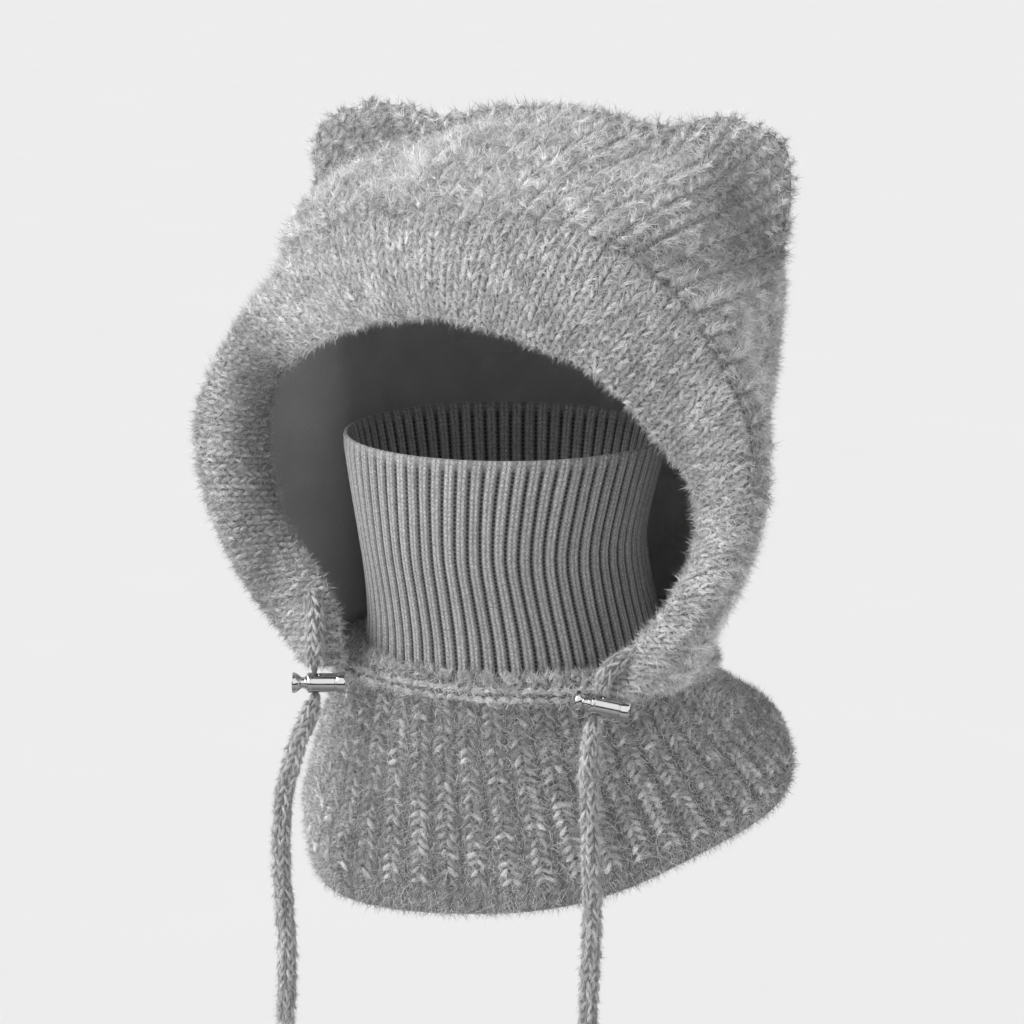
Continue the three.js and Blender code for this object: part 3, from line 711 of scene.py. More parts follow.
def legs_of(stitches, width, length, thick, lift, tones, slant=0.9, jitter=0.12):
    """The two legs of each stitch: middles, axes, outward sides, half lengths and tones."""
    column = unit(stitches["course"])
    row = unit(stitches["wale"])
    normal = stitches["normal"]
    count = len(normal)
    wide = np.clip(np.linalg.norm(stitches["wale"], axis=1), 0.5 * width, 1.6 * width)
    tall = np.clip(np.linalg.norm(stitches["course"], axis=1), 0.4 * length, 1.5 * length)
    legs = []
    for side in (-1, 1):
        axis = unit(column + side * slant * row + rng.normal(0, jitter, (count, 3)))
        middle = (
            stitches["place"] + row * (side * LEG_FROM_MIDDLE * wide)[:, None] + normal * lift
            + rng.normal(0, LEG_DRIFT, (count, 3)) * tall[:, None]
        )
        legs.append({
            "middle": middle, "axis": axis,
            "out": unit(normal - axis * (normal * axis).sum(axis=1, keepdims=True)),
            "half": LEG_HALF * tall * rng.uniform(0.85, 1.15, count),
            "thick": thick * rng.uniform(0.65, 1.2, count),
            "tone": rng.uniform(*tones, count),
        })
    return joined(*legs)


def joined(first, *others):
    """Legs or fibres of several sets as one set."""
    return {key: np.concatenate([first[key]] + [other[key] for other in others]) for key in first}


def part_of(things, mask):
    """The stitches, legs or fibres that a mask keeps."""
    return {key: value[mask] for key, value in things.items()}


def leg_mesh(name, legs, sides, material):
    """All legs joined in one mesh: spindles that swell in the middle and bow outwards."""
    shares = np.linspace(-1, 1, LEG_RINGS + 2)[1:-1]
    swell = np.sqrt(np.maximum(1 - np.abs(shares) ** LEG_PLUMPNESS, 0))
    angles = 2 * np.pi * (np.arange(sides) + 0.5) / sides
    across = np.cross(legs["out"], legs["axis"])
    count = len(legs["tone"])
    bow = -LEG_BOW * shares**2
    half = legs["half"][:, None, None]
    thick = legs["thick"][:, None, None]
    centre = (
        legs["middle"][:, None, :] + legs["axis"][:, None, :] * half * shares[None, :, None]
        + legs["out"][:, None, :] * thick * bow[None, :, None]
    )
    ring = (
        across[:, None, None, :] * np.cos(angles)[None, None, :, None]
        + legs["out"][:, None, None, :] * np.sin(angles)[None, None, :, None]
    )
    body = centre[:, :, None, :] + ring * (thick * swell[None, :, None])[..., None]
    tips = np.stack([
        legs["middle"] + sign * legs["axis"] * legs["half"][:, None]
        - legs["out"] * (TIP_SINKS * legs["thick"])[:, None]
        for sign in (-1, 1)
    ], axis=1)
    vertices = np.concatenate([body.reshape(count, -1, 3), tips], axis=1)
    per = LEG_RINGS * sides + 2
    foot, head, top_ring = per - 2, per - 1, (LEG_RINGS - 1) * sides
    template = []
    for j in range(sides):
        k = (j + 1) % sides
        template.append([foot, k, j])
        template.append([head, top_ring + j, top_ring + k])
        for i in range(LEG_RINGS - 1):
            a, b = i * sides + j, i * sides + k
            template.append([a, b, b + sides])
            template.append([a, b + sides, a + sides])
    faces = np.asarray(template)[None] + (np.arange(count) * per)[:, None, None]
    tone = np.repeat(legs["tone"], per)
    piece = make_object(name, vertices.reshape(-1, 3), faces.reshape(-1, 3), tone=tone)
    piece.data.materials.append(material)
    print(name, "legs:", count, "triangles:", len(piece.data.polygons))
    return piece


# %% [markdown]
# ## Fuzz
#
# Brushing pulls fibres out of the yarn. Each is one long thin triangle with its foot in a leg,
# which follows the leg and lifts away. Its flat side faces outwards, so that a mass of them
# shades like the surface it grows from, and single ones show on the outline.

# %% Fuzz
DOWN = np.array([0.0, 0.0, -1.0])
DROOP = 0.125
COMBED_DOWN = 0.4
LONGEST_FIBRE = 1.45
# where feet stand on a leg: turned from its outward side, slid along it, sunk in it
FOOT_TURN = 1.25
FOOT_SLIDE = (-0.85, 0.75)
FOOT_DEPTH = 0.75
# each fibre's foot gets painted shade, and its tip painted light
FOOT_PAINTED_SHADE = 0.85
TIP_PAINTED_LIGHT = 1.1


def fibre_lengths(count, length):
    """Lengths round a usual one, none of them very long."""
    return length * np.minimum(rng.gamma(9.0, 1 / 9, count), LONGEST_FIBRE)


def fibres_from(legs, per_leg, length, spread, lift, tones):
    """Feet, directions and tones of the fibres brushed out of legs."""
    pick = np.repeat(np.arange(len(legs["tone"])), per_leg)
    count = len(pick)
    axis = legs["axis"][pick]
    out = legs["out"][pick]
    across = np.cross(out, axis)
    around = rng.uniform(-FOOT_TURN, FOOT_TURN, count)[:, None]
    radial = out * np.cos(around) + across * np.sin(around)
    slide = rng.uniform(*FOOT_SLIDE, count)[:, None]
    root = (
        legs["middle"][pick] + axis * slide * legs["half"][pick][:, None]
        + radial * (FOOT_DEPTH * legs["thick"][pick])[:, None]
    )
    heading = unit(
        axis * rng.uniform(0.3, 1.3, count)[:, None]
        + radial * lift * rng.uniform(0.5, 1.5, count)[:, None]
        + rng.normal(0, spread, (count, 3))
    )
    return {
        "root": root, "heading": heading, "out": radial, "long": fibre_lengths(count, length),
        "tone": legs["tone"][pick] * rng.uniform(*tones, count),
    }


def fibres_on(piece, count, length, spread, lift, tones, skip=None, bare_slot=None):
    """Fibres combed over the ground between the legs, spread evenly over a piece's surface."""
    corner, _, slots = triangle_data(piece)
    e1 = corner[:, 1] - corner[:, 0]
    e2 = corner[:, 2] - corner[:, 0]
    cross = np.cross(e1, e2)
    area = np.linalg.norm(cross, axis=1)
    if skip is not None:
        area = np.where(skip(corner.mean(axis=1), unit(cross)), 0, area)
    if bare_slot is not None:
        area = np.where(slots == bare_slot, 0, area)
    pick = rng.choice(len(area), count, p=area / area.sum())
    s, t = rng.uniform(0, 1, (2, count, 1))
    fold = s + t > 1
    s, t = np.where(fold, 1 - s, s), np.where(fold, 1 - t, t)
    normal = unit(cross)[pick]
    down = DOWN - normal * (normal @ DOWN)[:, None]
    loose = rng.normal(0, 1, (count, 3))
    loose -= normal * (loose * normal).sum(axis=1, keepdims=True)
    raised = normal * lift * rng.uniform(0.4, 1.6, (count, 1))
    return {
        "root": corner[pick, 0] + s * e1[pick] + t * e2[pick],
        "heading": unit(unit(loose) * spread + COMBED_DOWN * down + raised), "out": normal,
        "long": fibre_lengths(count, length), "tone": rng.uniform(*tones, count),
    }


def fuzz_mesh(name, fibres, width, material):
    """All fibres joined in one mesh, each one thin triangle, with painted shade at its foot and
    painted light at its tip.
    """
    count = len(fibres["tone"])
    side = unit(np.cross(fibres["heading"], fibres["out"] + rng.normal(0, 0.3, (count, 3))))
    heading = unit(fibres["heading"] + DROOP * DOWN)
    tip = fibres["root"] + heading * fibres["long"][:, None]
    half = (0.5 * width * rng.uniform(0.6, 1.3, count))[:, None]
    vertices = np.stack([fibres["root"] + side * half, fibres["root"] - side * half, tip], axis=1)
    faces = np.arange(count * 3).reshape(-1, 3)
    tone = np.stack([FOOT_PAINTED_SHADE * fibres["tone"]] * 2 + [TIP_PAINTED_LIGHT * fibres["tone"]], axis=1)
    piece = make_object(name, vertices.reshape(-1, 3), faces, tone=tone.ravel())
    piece.data.materials.append(material)
    print(name, "fibres:", count)
    return piece


# %% [markdown]
# ## The hood's form
#
# Each height of the hood is one loop: a squared head form with a thin fin through its middle,
# which becomes the ears at the top. The creases are softened, the crown dips between the ears,
# and the front edge flares out to the band. Loops stacked up give a grid, closed along a ridge.

# %% Hood form
HOOD_ROWS = np.array([
    # height, half, head, front, wide, back, square, ear
    [-243, 90, 90, -122, -33, 52, 5, 6], [-222, 93, 93, -122, -28, 68, 5, 6],
    [-202, 96, 96, -122, -22, 84, 5, 6], [-180, 100, 100, -122, -14, 100, 5, 6],
    [-157, 103, 103, -122, -8, 112, 5, 6], [-134, 105, 105, -122, -3, 121, 5, 6],
    [-112, 107, 107, -123, 0, 125, 5, 8], [-92, 110, 109, -125, 0, 125, 5, 12],
    [-74, 115, 110, -126, 0, 121, 4.5, 15], [-58, 122, 108, -127, 0, 114, 4.2, 16],
    [-44, 127, 104, -127, 0, 106, 4, 15], [-32, 129, 99, -126, 0, 97, 3.8, 13],
    [-21, 129, 91, -116, 0, 85, 3, 11.5], [-12, 128, 79, -97, 0, 70, 2.5, 10],
    [-5, 125, 64, -72, 0, 53, 2.2, 9], [0, 119, 47, -48, 0, 37, 2, 8],
    [3.5, 111, 30, -27, 0, 22, 2, 6.5], [7.7, 100, 12, -7, 0, 7, 2, 5],
])
KNIT_WALL = 3.6
LINING_INSET = 5.7
LINING_WALL = 2.0
CROWN_DIP = 6.0
CROWN_DIP_AT = 55.0
CROWN_DIP_WIDTH = 20.0
LEFT_EAR_TRIM = 3.8
# the heights between which the inner walls sink, the flare to the band ends and the dip grows
WALLS_SINK = (-80, -10)
FLARE_ENDS = (-66, -46)
DIP_GROWS = (-30, -2)
HALF_SAMPLES = 400
LOOP_SAMPLES = 360
LOOP_SOFTNESS = 5
# height, half width and depth of the sewn rim on each side, from the bottom up
RIGHT_RIM, LEFT_RIM = (
    np.abs(rows[:, [2, 0, 1]]) * (-1, 1, -1) for rows in (RIM[:10], RIM[12:][::-1])
)


def softened(loop):
    """A closed loop with its creases softened, as in thick knitting."""
    reach = LOOP_SOFTNESS * 3
    offsets = np.arange(-reach, reach + 1)
    weights = np.exp(-0.5 * (offsets / LOOP_SOFTNESS) ** 2)
    weights /= weights.sum()
    return sum(w * np.roll(loop, -k, axis=0) for w, k in zip(weights, offsets))


def hood_loop(z, inset, ears, sides):
    """One loop of the hood, inset from its outer face, counterclockwise from its right tip."""
    _, half, head, front, wide, behind, square, ear = row_at(HOOD_ROWS, z)
    head_half = max(head - inset, 3)
    half = max(half + inset * 0.4, head_half) if ears else head_half
    ear_depth = max(ear - inset, 2.5) if ears else 0.0
    kept = max(1 - LEFT_EAR_TRIM / (half - head_half), 0.2) if half > head_half + 1 else 1.0

    def stretch(end, power):
        """Half the loop, from tip to tip past its foremost or hindmost place."""
        depth = max(abs(end - wide) - inset, 2)
        across = half * np.cos(np.pi * np.arange(HALF_SAMPLES + 1) / HALF_SAMPLES)
        x = np.where(across > head_half, head_half + (across - head_half) * kept, across)
        head_depth = depth * np.maximum(1 - (np.abs(x) / head_half) ** power, 0) ** (1 / power)
        fin_depth = ear_depth * np.sqrt(np.maximum(0, 1 - (across / half) ** 2))
        return np.stack([x, wide + np.sign(end - wide) * np.hypot(head_depth, fin_depth)], axis=1)

    middle = LOOP_SAMPLES // 2
    loop = softened(np.vstack([
        respaced(stretch(behind, 2), middle), respaced(stretch(front, square)[::-1], middle),
    ]))
    x, y = np.vstack([
        respaced(loop[: middle + 1], sides // 2),
        respaced(np.vstack([loop[middle:], loop[:1]]), sides // 2),
    ]).T
    rims = np.where((x < 0)[:, None], *(
        row_at(rim, np.clip(z, rim[0, 0], rim[-1, 0])) for rim in (RIGHT_RIM, LEFT_RIM)
    ))
    reach = np.minimum((wide - rims[:, 2]) / (wide - front), 0.98)
    plain = head * (1 - reach**square) ** (1 / square)
    flare = (rims[:, 1] - plain) * (1 - smooth_step(z, *FLARE_ENDS))
    flare = flare * smooth_step(-y, 15, -rims[:, 2] - min(inset, 3))
    flare = flare * np.minimum(1, np.abs(x) / (half * 0.5))
    dip = CROWN_DIP * np.exp(-(((np.abs(x) - CROWN_DIP_AT) / CROWN_DIP_WIDTH) ** 2))
    height = z - inset * smooth_step(z, *WALLS_SINK) - dip * smooth_step(z, *DIP_GROWS)
    return np.stack([x + np.sign(x) * flare, y, height], axis=1)


def hood_grid(bottom, inset, ears, sides, step):
    """The hood's loops from the neckline to the crown, then drawn in to the ridge."""
    heights = [bottom]
    for low, high in zip(HOOD_ROWS[:-1], HOOD_ROWS[1:]):
        parts = max(1, int(round(np.hypot(high[0] - low[0], high[3] - low[3]) / step)))
        heights += [low[0] + (high[0] - low[0]) * k / parts for k in range(1, parts + 1)]
    loops = [hood_loop(z, inset, ears, sides) for z in heights if z >= bottom]
    top = loops[-1]
    for share, rise in ((0.85, 0.4), (0.5, 0.8), (0.0, 1.0)):
        loop = top * (1, share, 1)
        loop[:, 2] += rise
        loops.append(loop)
    # the ridge's two sides meet in the same points
    loops[-1] = (loops[-1] + loops[-1][-np.arange(sides)]) / 2
    return np.stack(loops)


HOOD_FOOT = -241.8
HOOD_SIDES = 192
GROUND_INSET = 2.6
hood = hood_grid(HOOD_FOOT, GROUND_INSET, ears=True, sides=HOOD_SIDES, step=5.5)
print("hood grid", hood.shape)

# %% [markdown]
# ## The hood's chart
#
# The front panel's wales start at the face band, square to it, and run back over the crown and
# along the sides to the seam through the ears. The back panel's wales run down from the ridge.
# So the front counts angle round a front-to-back axis, and the back counts real distances.

# %% Hood chart
WALE = 12.5
COURSE = 4.3
TURN_HEIGHT = -110.0
TURN_RADIUS = 118.0
COURSES_LEAN = 0.8


def hood_charts(grid):
    """The front and the back panel's counts, with one more column to close the loops."""
    closed = closed_grid(grid)
    x, y, z = np.moveaxis(closed, 2, 0)
    turn = np.arctan2(x, z - TURN_HEIGHT)
    radius = np.hypot(x, z - TURN_HEIGHT)
    front = np.stack([turn * TURN_RADIUS / WALE, (y + COURSES_LEAN * radius) / COURSE], axis=2)
    arc = round_of(closed)
    middle_back = arc[:, grid.shape[1] // 4][:, None]
    back_counts = ((arc - middle_back) / WALE, climb_of(closed)[:, None] / COURSE)
    return front, np.stack(np.broadcast_arrays(*back_counts), axis=2)


front_chart, back_chart = hood_charts(hood)
hood_faces = grid_faces(*hood.shape[:2])
is_back = hood_faces[:, 0] % HOOD_SIDES < HOOD_SIDES // 2
hood_counts = np.where(
    is_back[:, None, None],
    corner_counts(back_chart, hood_faces), corner_counts(front_chart, hood_faces),
)
hood_wall = make_object("hood_wall", hood.reshape(-1, 3), hood_faces, chart=hood_counts)
print("back panel faces:", is_back.sum(), "of", len(is_back))

# %% [markdown]
# ## Cutting the face opening
#
# The opening could be deleted face by face, but that leaves a ragged edge. Instead the hood's
# open foot is capped, a prism in the band's outline is subtracted with a Boolean modifier, and
# the cap and cut walls are deleted again, known by their own material. Solidify then gives the
# clean sheet its wall. Its inner side and its rim get slots of their own, so that stitches keep
# off both and fibres keep off the inner side.

# %% Face opening
CUT_MARK = bpy.data.materials.new("cut_mark")
CUT_FOOT = -262
CUT_DEPTH = 150.0
INNER_SLOT = 1
RIM_SLOT = 2


def outline_cutter(back_y, clear):
    """A prism from a depth towards the front, in the band's outline moved out by some mm."""
    places = np.linspace(0, len(RIM) - 1, 121)
    rim = curve_at(RIM, places)
    lip = curve_at(LIP, places)
    outline = rim[:, [0, 2]] + unit(rim[:, [0, 2]] - lip[:, [0, 2]]) * clear
    outline = np.vstack([outline, [outline[-1][0], CUT_FOOT], [outline[0][0], CUT_FOOT]])
    count = len(outline)
    ends = np.vstack([
        np.column_stack([outline[:, 0], np.full(count, y), outline[:, 1]])
        for y in (back_y - CUT_DEPTH, float(back_y))
    ])
    sides = [(k, (k + 1) % count, count + (k + 1) % count, count + k) for k in range(count)]
    caps = [tuple(range(count))[::-1], tuple(range(count, 2 * count))]
    mesh = bpy.data.meshes.new("face_cutter")
    mesh.from_pydata((ends * MM).tolist(), [], sides + caps)
    mesh.materials.append(CUT_MARK)
    cutter = linked("face_cutter", mesh)
    sealed(cutter)
    return cutter


def capped(piece):
    """Closes the open foot of a sheet with one face of the marked material."""
    only(piece)
    bpy.ops.object.mode_set(mode="EDIT")
    bpy.ops.mesh.select_mode(type="EDGE")
    bpy.ops.mesh.select_all(action="SELECT")
    bpy.ops.mesh.remove_doubles(threshold=0.0001)
    select_open_edges()
    piece.active_material_index = 1
    bpy.ops.mesh.edge_face_add()
    bpy.ops.object.material_slot_assign()
    bpy.ops.object.mode_set(mode="OBJECT")
    sealed(piece)


def opened(piece):
    """Deletes the faces of the marked material."""
    marks = [k for k, m in enumerate(piece.data.materials) if m == CUT_MARK]
    only(piece)
    bpy.ops.object.mode_set(mode="EDIT")
    bpy.ops.mesh.select_mode(type="FACE")
    bpy.ops.mesh.select_all(action="DESELECT")
    bpy.ops.object.mode_set(mode="OBJECT")
    for polygon in piece.data.polygons:
        polygon.select = polygon.material_index in marks
    bpy.ops.object.mode_set(mode="EDIT")
    bpy.ops.mesh.delete(type="FACE")
    bpy.ops.object.mode_set(mode="OBJECT")


def cut_face_opening(piece, back_y, clear, wall, knit):
    """Cuts the opening out of a capped sheet, opens it again and gives it its wall."""
    piece.data.materials.append(knit)
    piece.data.materials.append(CUT_MARK)
    capped(piece)
    cutter = outline_cutter(back_y, clear)
    finish_modifier(piece, "BOOLEAN", operation="DIFFERENCE", object=cutter, solver="EXACT",
                    material_mode="TRANSFER")
    bpy.data.objects.remove(cutter)
    opened(piece)
    while len(piece.data.materials) > 1:
        piece.data.materials.pop()
    piece.data.materials.append(knit)
    piece.data.materials.append(knit)
    finish_modifier(piece, "SOLIDIFY", thickness=wall * MM, offset=-1, use_rim=True,
                    material_offset=INNER_SLOT, material_offset_rim=RIM_SLOT)


cut_face_opening(hood_wall, back_y=-98, clear=-0.4, wall=KNIT_WALL - GROUND_INSET,
                 knit=HOOD_GROUND)
print("hood wall triangles", triangles_of(hood_wall))

# %% [markdown]
# ## Painted shade on the hood
#
# Folds and seams catch less light, and brushed pile hides most of their relief. Their shade is
# painted. It could be painted in the material, but the tone of legs and fibres is at hand, so it
# is lowered a little in the ears' folded fronts and along the seam between hood and band.

# %% Shades of the hood
# how much painted shade darkens the ears' folded fronts
EAR_PAINTED_SHADE = 0.3
# how much painted shade darkens the seam between hood and band, and how far it reaches
SEAM_PAINTED_SHADE = 0.18
SEAM_REACH = 5.0
EAR_FROM_SIDE = 84
EAR_FROM_HEIGHT = -40
EAR_LEGS = 0.72
EAR_FIBRES = 0.76
rim_line = curve_at(RIM, np.linspace(0, len(RIM) - 1, 150))


def ear_fold(points):
    """How much a place lies in the folded front of an ear, where painted shade darkens the pile.
    """
    x, y, z = points.T
    left = smooth_step(z + 10 - 0.68 * (x + 72), -3, 4) * smooth_step(-x, 68, 78)
    right = smooth_step(x - 78 + 0.3 * np.minimum(z, 0), -4, 8) * (1 - smooth_step(-z, 50, 85))
    right = right * (1 - smooth_step(-y, 38, 66))
    return np.maximum(left, right) * smooth_step(-y, -6, 10) * smooth_step(-z, -1, 8)


def painted_seam_shade(points):
    """Painted shade near the seam between hood and band: the tone is lowest on it, 1 some way off.
    """
    nearest = np.full(len(points), 1e9)
    for place in rim_line:
        nearest = np.minimum(nearest, ((points - place) ** 2).sum(axis=1))
    return 1 - SEAM_PAINTED_SHADE * np.exp(-nearest / SEAM_REACH**2)


def on_ear(points):
    """True near the ears' thin tips, where legs are smaller and fibres shorter."""
    return (np.abs(points[:, 0]) > EAR_FROM_SIDE) & (points[:, 2] > EAR_FROM_HEIGHT)


# %% [markdown]
# ## Dressing the hood
#
# Stitches come from the chart, legs from the stitches and fuzz from the legs. Worn pile is
# never as even as a chart, so each leg is pushed a little sideways, more on the ears. The
# hood's pile is in two pieces, front and back, so that neither mesh grows too heavy.

# %% Hood stitches and fuzz
RUFFLE = 0.7
EAR_RUFFLE = 1.6
hood_legs = legs_of(stitch_places(hood_wall), width=WALE * 0.72, length=COURSE, thick=1.5,
                    lift=0.2, tones=(0.64, 1.34), jitter=0.3)
ruffled = RUFFLE + EAR_RUFFLE * ear_fold(hood_legs["middle"])
ruffled = ruffled * rng.normal(0, 1, len(ruffled))
across_wale = np.cross(hood_legs["out"], hood_legs["axis"])
hood_legs["middle"] = hood_legs["middle"] + across_wale * ruffled[:, None]
# painted shade on the legs: in the ears' folded fronts, then along the seam
hood_legs["tone"] *= 1 - EAR_PAINTED_SHADE * ear_fold(hood_legs["middle"])
hood_legs["tone"] *= painted_seam_shade(hood_legs["middle"])
leg_scale = np.where(on_ear(hood_legs["middle"]), EAR_LEGS, 1.0)
hood_legs["thick"] = hood_legs["thick"] * leg_scale
hood_legs["half"] = hood_legs["half"] * leg_scale
hood_yarn = leg_mesh("hood_stitches", hood_legs, sides=4, material=YARN["hood"])
leg_fibres = fibres_from(hood_legs, per_leg=26, length=5.0, spread=0.42, lift=0.5,
                         tones=(0.64, 1.34))
ground_fibres = fibres_on(hood_wall, count=128000, length=4.8, spread=0.85, lift=0.45,
                          tones=(0.62, 1.26), bare_slot=INNER_SLOT)
# painted shade on the ground fibres in the ears' folded fronts
ground_fibres["tone"] *= 1 - EAR_PAINTED_SHADE * ear_fold(ground_fibres["root"])
hood_fibres = joined(leg_fibres, ground_fibres)
# painted shade along the seam on all the hood's fibres
hood_fibres["tone"] *= painted_seam_shade(hood_fibres["root"])
fibre_scale = np.where(on_ear(hood_fibres["root"]), EAR_FIBRES, 1.0)
hood_fibres["long"] = hood_fibres["long"] * fibre_scale
is_front = hood_fibres["root"][:, 1] < 0
hood_fuzz_front = fuzz_mesh(
    "hood_fuzz_front", part_of(hood_fibres, is_front), width=0.31, material=FIBRE["hood"]
)
hood_fuzz_back = fuzz_mesh(
    "hood_fuzz_back", part_of(hood_fibres, ~is_front), width=0.36, material=FIBRE["hood"]
)

# %% [markdown]
# ## The lining
#
# Smooth fleece hangs just inside the knit wall, without ears. It is the same form drawn in,
# coarser, with its own wall. Only its nap shows, so the material does the rest.

# %% Lining
LINING_FOOT = -240.5
LINING_SIDES = 120
lining_form = hood_grid(LINING_FOOT, LINING_INSET, ears=False, sides=LINING_SIDES, step=8.0)
no_chart = np.zeros((len(lining_form), LINING_SIDES + 1, 2))
lining = sheet_object("lining_fleece", lining_form, no_chart)
cut_face_opening(lining, back_y=-95, clear=0.4, wall=LINING_WALL, knit=FLEECE)
print("lining triangles", triangles_of(lining))

# %% [markdown]
# ## The face band
#
# The band is a padded tube of narrow rib, flat where it meets the face and rounded at both
# edges. It is lofted from the sewn rim to the free lip. Its ribs run across it, so the chart
# counts wales along the band and courses round it.

# %% Face band
BAND_THICKNESS = 14.0
BAND_CROWN = 2.5
BAND_INSET = 2.3
BAND_RINGS = 210
BAND_SIDES = 32
RIB = 6.4
BAND_COURSE = 3.9
ROUNDNESS = 0.8


def band_ring(place, sides, inset):
    """One ring round the band at a place along it, counted in rows of the table."""
    rim, lip = (curve_at(edge, np.array([place]))[0] for edge in (RIM, LIP))
    ends = np.clip([place - 0.02, place + 0.02], 0, len(RIM) - 1)
    along = unit(sum(unit(np.diff(curve_at(edge, ends), axis=0)[0]) for edge in (RIM, LIP)))
    across = lip - rim
    half = np.linalg.norm(across) / 2 + 1 - inset
    across = unit(across)
    facing = unit(np.cross(across, along))
    row = int(min(np.floor(place), len(RIM) - 2))
    thick = np.interp(place - row, [0, 1], BAND_ROWS[row : row + 2, 6])
    angle = -2 * np.pi * (np.arange(sides) + 0.5) / sides
    c, s = (np.sign(w) * np.abs(w) ** ROUNDNESS for w in (np.cos(angle), np.sin(angle)))
    lift = (BAND_THICKNESS / 2 * thick - inset) * s + BAND_CROWN * (1 - c**2)
    return (rim + lip) / 2 + across * (half * c)[:, None] + facing * lift[:, None]


def band_grid(inset, rings, sides):
    """The band's rings, its ends drawn in to rounded closings."""
    grid = [band_ring(place, sides, inset) for place in np.linspace(0, len(RIM) - 1, rings)]
    for end, step in ((0, 1), (-1, -1)):
        ring = grid[end]
        centre = ring.mean(axis=0)
        outward = unit(centre - grid[end + step].mean(axis=0))
        extra = []
        for share, reach in ((0.93, 1.2), (0.75, 2.6), (0.45, 3.8), (0.0, 4.2)):
            extra.append(centre + (ring - centre) * share + outward * reach)
        grid = extra[::-1] + grid if end == 0 else grid + extra
    return np.stack(grid)


band_form = band_grid(BAND_INSET, BAND_RINGS, BAND_SIDES)
band_rings = closed_grid(band_form)
band_counts = (
    arc_lengths(band_rings.mean(axis=1))[:, None] / RIB, -round_of(band_rings) / BAND_COURSE,
)
band_chart = np.stack(np.broadcast_arrays(*band_counts), axis=2)
band = sheet_object("face_band_knit", band_form, band_chart)
band.data.materials.append(HOOD_GROUND)
sealed(band, merge=0.00001)
print("band grid", band_form.shape)

# %% [markdown]
# ## Dressing the band
#
# The band's rib is denser than the hood's knitting, so its legs are slimmer and its fibres
# shorter. Painted shade darkens it where it turns in to the lining on the wearer's right, and at
# its seam.

# %% Band stitches and fuzz
TURNED_IN_PAINTED_SHADE = 0.42


def band_painted_shade(points):
    """Painted shade where the band turns in to the lining, and at its seam with the hood."""
    x, y, z = points.T
    turned_in = smooth_step(-x, 78, 96) * smooth_step(x, -124, -104) * smooth_step(-z, 74, 104)
    return (1 - TURNED_IN_PAINTED_SHADE * turned_in) * painted_seam_shade(points)


band_legs = legs_of(stitch_places(band), width=RIB * 0.66, length=BAND_COURSE, thick=1.15,
                    lift=0.5, tones=(0.76, 1.22), slant=0.42, jitter=0.08)
# painted shade where the band turns in and at its seam
band_legs["tone"] *= band_painted_shade(band_legs["middle"])
band_yarn = leg_mesh("band_stitches", band_legs, sides=4, material=YARN["band"])
band_ground = fibres_on(band, count=34000, length=4.0, spread=0.8, lift=0.6, tones=(0.62, 1.2))
# the same painted shade on the band's ground fibres
band_ground["tone"] *= band_painted_shade(band_ground["root"])
band_fibres = fibres_from(band_legs, per_leg=24, length=4.0, spread=0.4, lift=0.5,
                          tones=(0.65, 1.3))
band_fuzz = fuzz_mesh(
    "band_fuzz", joined(band_fibres, band_ground), width=0.3, material=FIBRE["band"]
)

# %% [markdown]
# ## The neck cape
#
# Chunky fisherman's rib: plump columns of V stitches with dark gaps between, a purl ridge at
# the neck and a smooth rolled hem. The form is one closed profile swung round the neck: up the
# outside, over the shoulder and down the inside.

# %% Cape form
CAPE_ROWS = np.array([
    # below the neckline, share of the skirt, half width, half depth, middle, wall, inner drop
    [0, 0, 76.5, 77.5, -42, 4.5, 6], [3, 0, 90, 86.5, -35, 6, 6], [9, 0, 93.5, 89, -34, 7, 3],
    [15, 0, 91, 87, -33, 6, 0], [22, 0.1, 96, 90, -30, 6, 0], [22, 0.4, 107, 97, -21, 6, 0],
    [22, 0.7, 118, 103, -11, 6, 0], [22, 0.88, 124, 106, -5, 9, 0],
    [22, 1, 123, 105, -4, 6.5, 0],
])
NECKLINE = -240.0
SOFT_FOLDS = 6
SOFT_FOLD_DEPTH = 3
DEEP_FOLD_DEPTH = 12
FOLD_AT = np.radians(-29)
FOLD_WIDTH = np.radians(9)
CAPE_INSET = 2.2
CAPE_SIDES = 192


def hem_height(angle):
    """The hem's height round the cape: lower at the front right, as it hangs in the photo."""
    return -326 + 30 * np.sin(angle) + 16 * np.cos(angle)


def cape_loop(row, inset, drop):
    """One loop of the cape, with its six soft folds and one deeper fold in front."""
    angle = 2 * np.pi * np.arange(CAPE_SIDES) / CAPE_SIDES
    below, share, half_x, half_y, middle = row[:5]
    away = np.arctan2(np.sin(angle - FOLD_AT), np.cos(angle - FOLD_AT)) / FOLD_WIDTH
    crease = np.exp(-(away**2)) - 0.8 * np.exp(-((away + 1.7) ** 2))
    fold = SOFT_FOLD_DEPTH * share * np.cos(SOFT_FOLDS * angle + 0.6)
    fold = fold + DEEP_FOLD_DEPTH * share * (1 - share) * crease
    top = NECKLINE - below
    return np.stack([
        (half_x - inset + fold) * np.cos(angle),
        middle + (half_y - inset + fold) * np.sin(angle),
        top + (hem_height(angle) - top) * share - drop,
    ], axis=1)


def cape_loops():
    """Outer loops from the hem up, and every third inner loop."""
    places = np.concatenate([np.linspace(8, 4, 19), np.linspace(4, 0, 13)[1:]])
    columns = np.arange(len(CAPE_ROWS))
    outer = []
    inner = []
    for place in places:
        row = np.array([np.interp(place, columns, column) for column in CAPE_ROWS.T])
        outer.append(cape_loop(row, CAPE_INSET, 0))
        inner.append(cape_loop(row, row[5], row[6]))
    return np.stack(outer), np.stack(inner[::3])


cape_outer, cape_inner = cape_loops()
